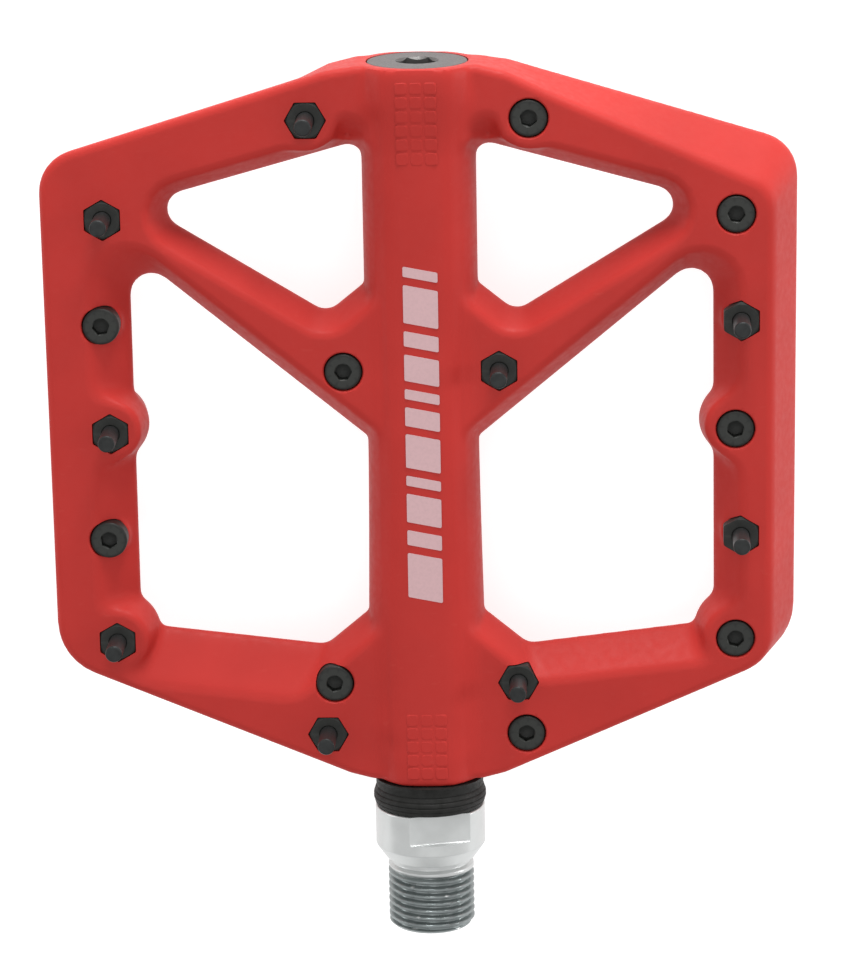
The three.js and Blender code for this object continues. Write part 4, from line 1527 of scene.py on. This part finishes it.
class CapSettings(bpy.types.PropertyGroup):
    """The end cap"""

    socket_flats: FloatProperty(name="Socket", description="Width of the socket across flats",
                                default=0.006, **LENGTH)
    socket_depth: FloatProperty(name="Socket depth", description="Depth of the socket", default=0.0036,
                                **LENGTH)
    socket_chamfer: FloatProperty(name="Chamfer", description="Chamfer round the socket", default=0.00045,
                                  **LENGTH)
    colour: FloatVectorProperty(name="Colour", description="Colour of the anodising",
                                default=display(93, 91, 90)[:3], **COLOUR)


class StageSettings(bpy.types.PropertyGroup):
    """Light and camera"""

    room: FloatProperty(name="Room light", description="Strength of the light from all round", default=0.72)
    table: FloatProperty(name="Table light", description="How much the white table glows", default=0.76)
    key: FloatProperty(name="Key light", description="Soft low light past the outboard end", default=8.0,
                       **POWER)
    fill: FloatProperty(name="Top light", description="Large soft light overhead", default=1.6, **POWER)
    side: FloatProperty(name="Side light", default=1.6,
                        description="Low light from the right, with half of it from the left", **POWER)
    lens: FloatProperty(name="Lens", description="Focal length", default=0.17295, **LENGTH)
    distance: FloatProperty(name="Distance", description="Camera to the pedal", default=0.75, **LENGTH)
    tilt: FloatProperty(name="Tilt", description="Lean towards the outboard end",
                        default=math.radians(14.73), **ANGLE)
    sway: FloatProperty(name="Sway", description="Lean to the side", default=math.radians(-2.3), **ANGLE)
    roll: FloatProperty(name="Roll", description="Turn of the picture", default=math.radians(0.43), **ANGLE)
    aim_along: FloatProperty(name="Aim along", description="Where the camera aims along the spindle",
                             default=0.00405, **LENGTH)
    aim_across: FloatProperty(name="Aim across", description="Where the camera aims across the platform",
                              default=0.00056, **LENGTH)


class PedalSettings(bpy.types.PropertyGroup):
    """Everything a user may change"""

    platform: PointerProperty(type=PlatformSettings)
    marking: PointerProperty(type=MarkingSettings)
    pins: PointerProperty(type=PinSettings)
    cap: PointerProperty(type=CapSettings)
    stage: PointerProperty(type=StageSettings)


OPERATORS = (PEDAL_OT_platform, PEDAL_OT_mould_grid, PEDAL_OT_marking, PEDAL_OT_pin_screws,
             PEDAL_OT_pin_nuts, PEDAL_OT_spindle, PEDAL_OT_seal, PEDAL_OT_bush, PEDAL_OT_bearing,
             PEDAL_OT_lock_nut, PEDAL_OT_end_cap, PEDAL_OT_stage)


class PEDAL_PT_pieces(bpy.types.Panel):
    """The pedal's pieces and settings"""

    bl_idname = "PEDAL_PT_pieces"
    bl_label = "Flat pedal"
    bl_space_type = "VIEW_3D"
    bl_region_type = "UI"
    bl_category = "Pedal"

    def draw(self, context):
        for operator in OPERATORS:
            self.layout.operator(operator.bl_idname)
        pedal = context.scene.flat_pedal
        for group in (pedal.platform, pedal.marking, pedal.pins, pedal.cap, pedal.stage):
            box = self.layout.box()
            box.label(text=group.bl_rna.description)
            for name in group.__annotations__:
                box.prop(group, name)


CLASSES = (PlatformSettings, MarkingSettings, PinSettings, CapSettings, StageSettings, PedalSettings,
           *OPERATORS, PEDAL_PT_pieces)


def register():
    for cls in CLASSES:
        bpy.utils.register_class(cls)
    bpy.types.Scene.flat_pedal = PointerProperty(type=PedalSettings)


def unregister():
    del bpy.types.Scene.flat_pedal
    for cls in reversed(CLASSES):
        bpy.utils.unregister_class(cls)


def main():
    """Makes every piece and the stage."""
    register()
    for operator in OPERATORS:
        group, name = operator.bl_idname.split(".")
        getattr(getattr(bpy.ops, group), name)()
    boxes = {"cad": CAD_BOX, "visual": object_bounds()}
    {key: [list(corner) for corner in box] for key, box in boxes.items()}


if __name__ == "__main__":
    main()
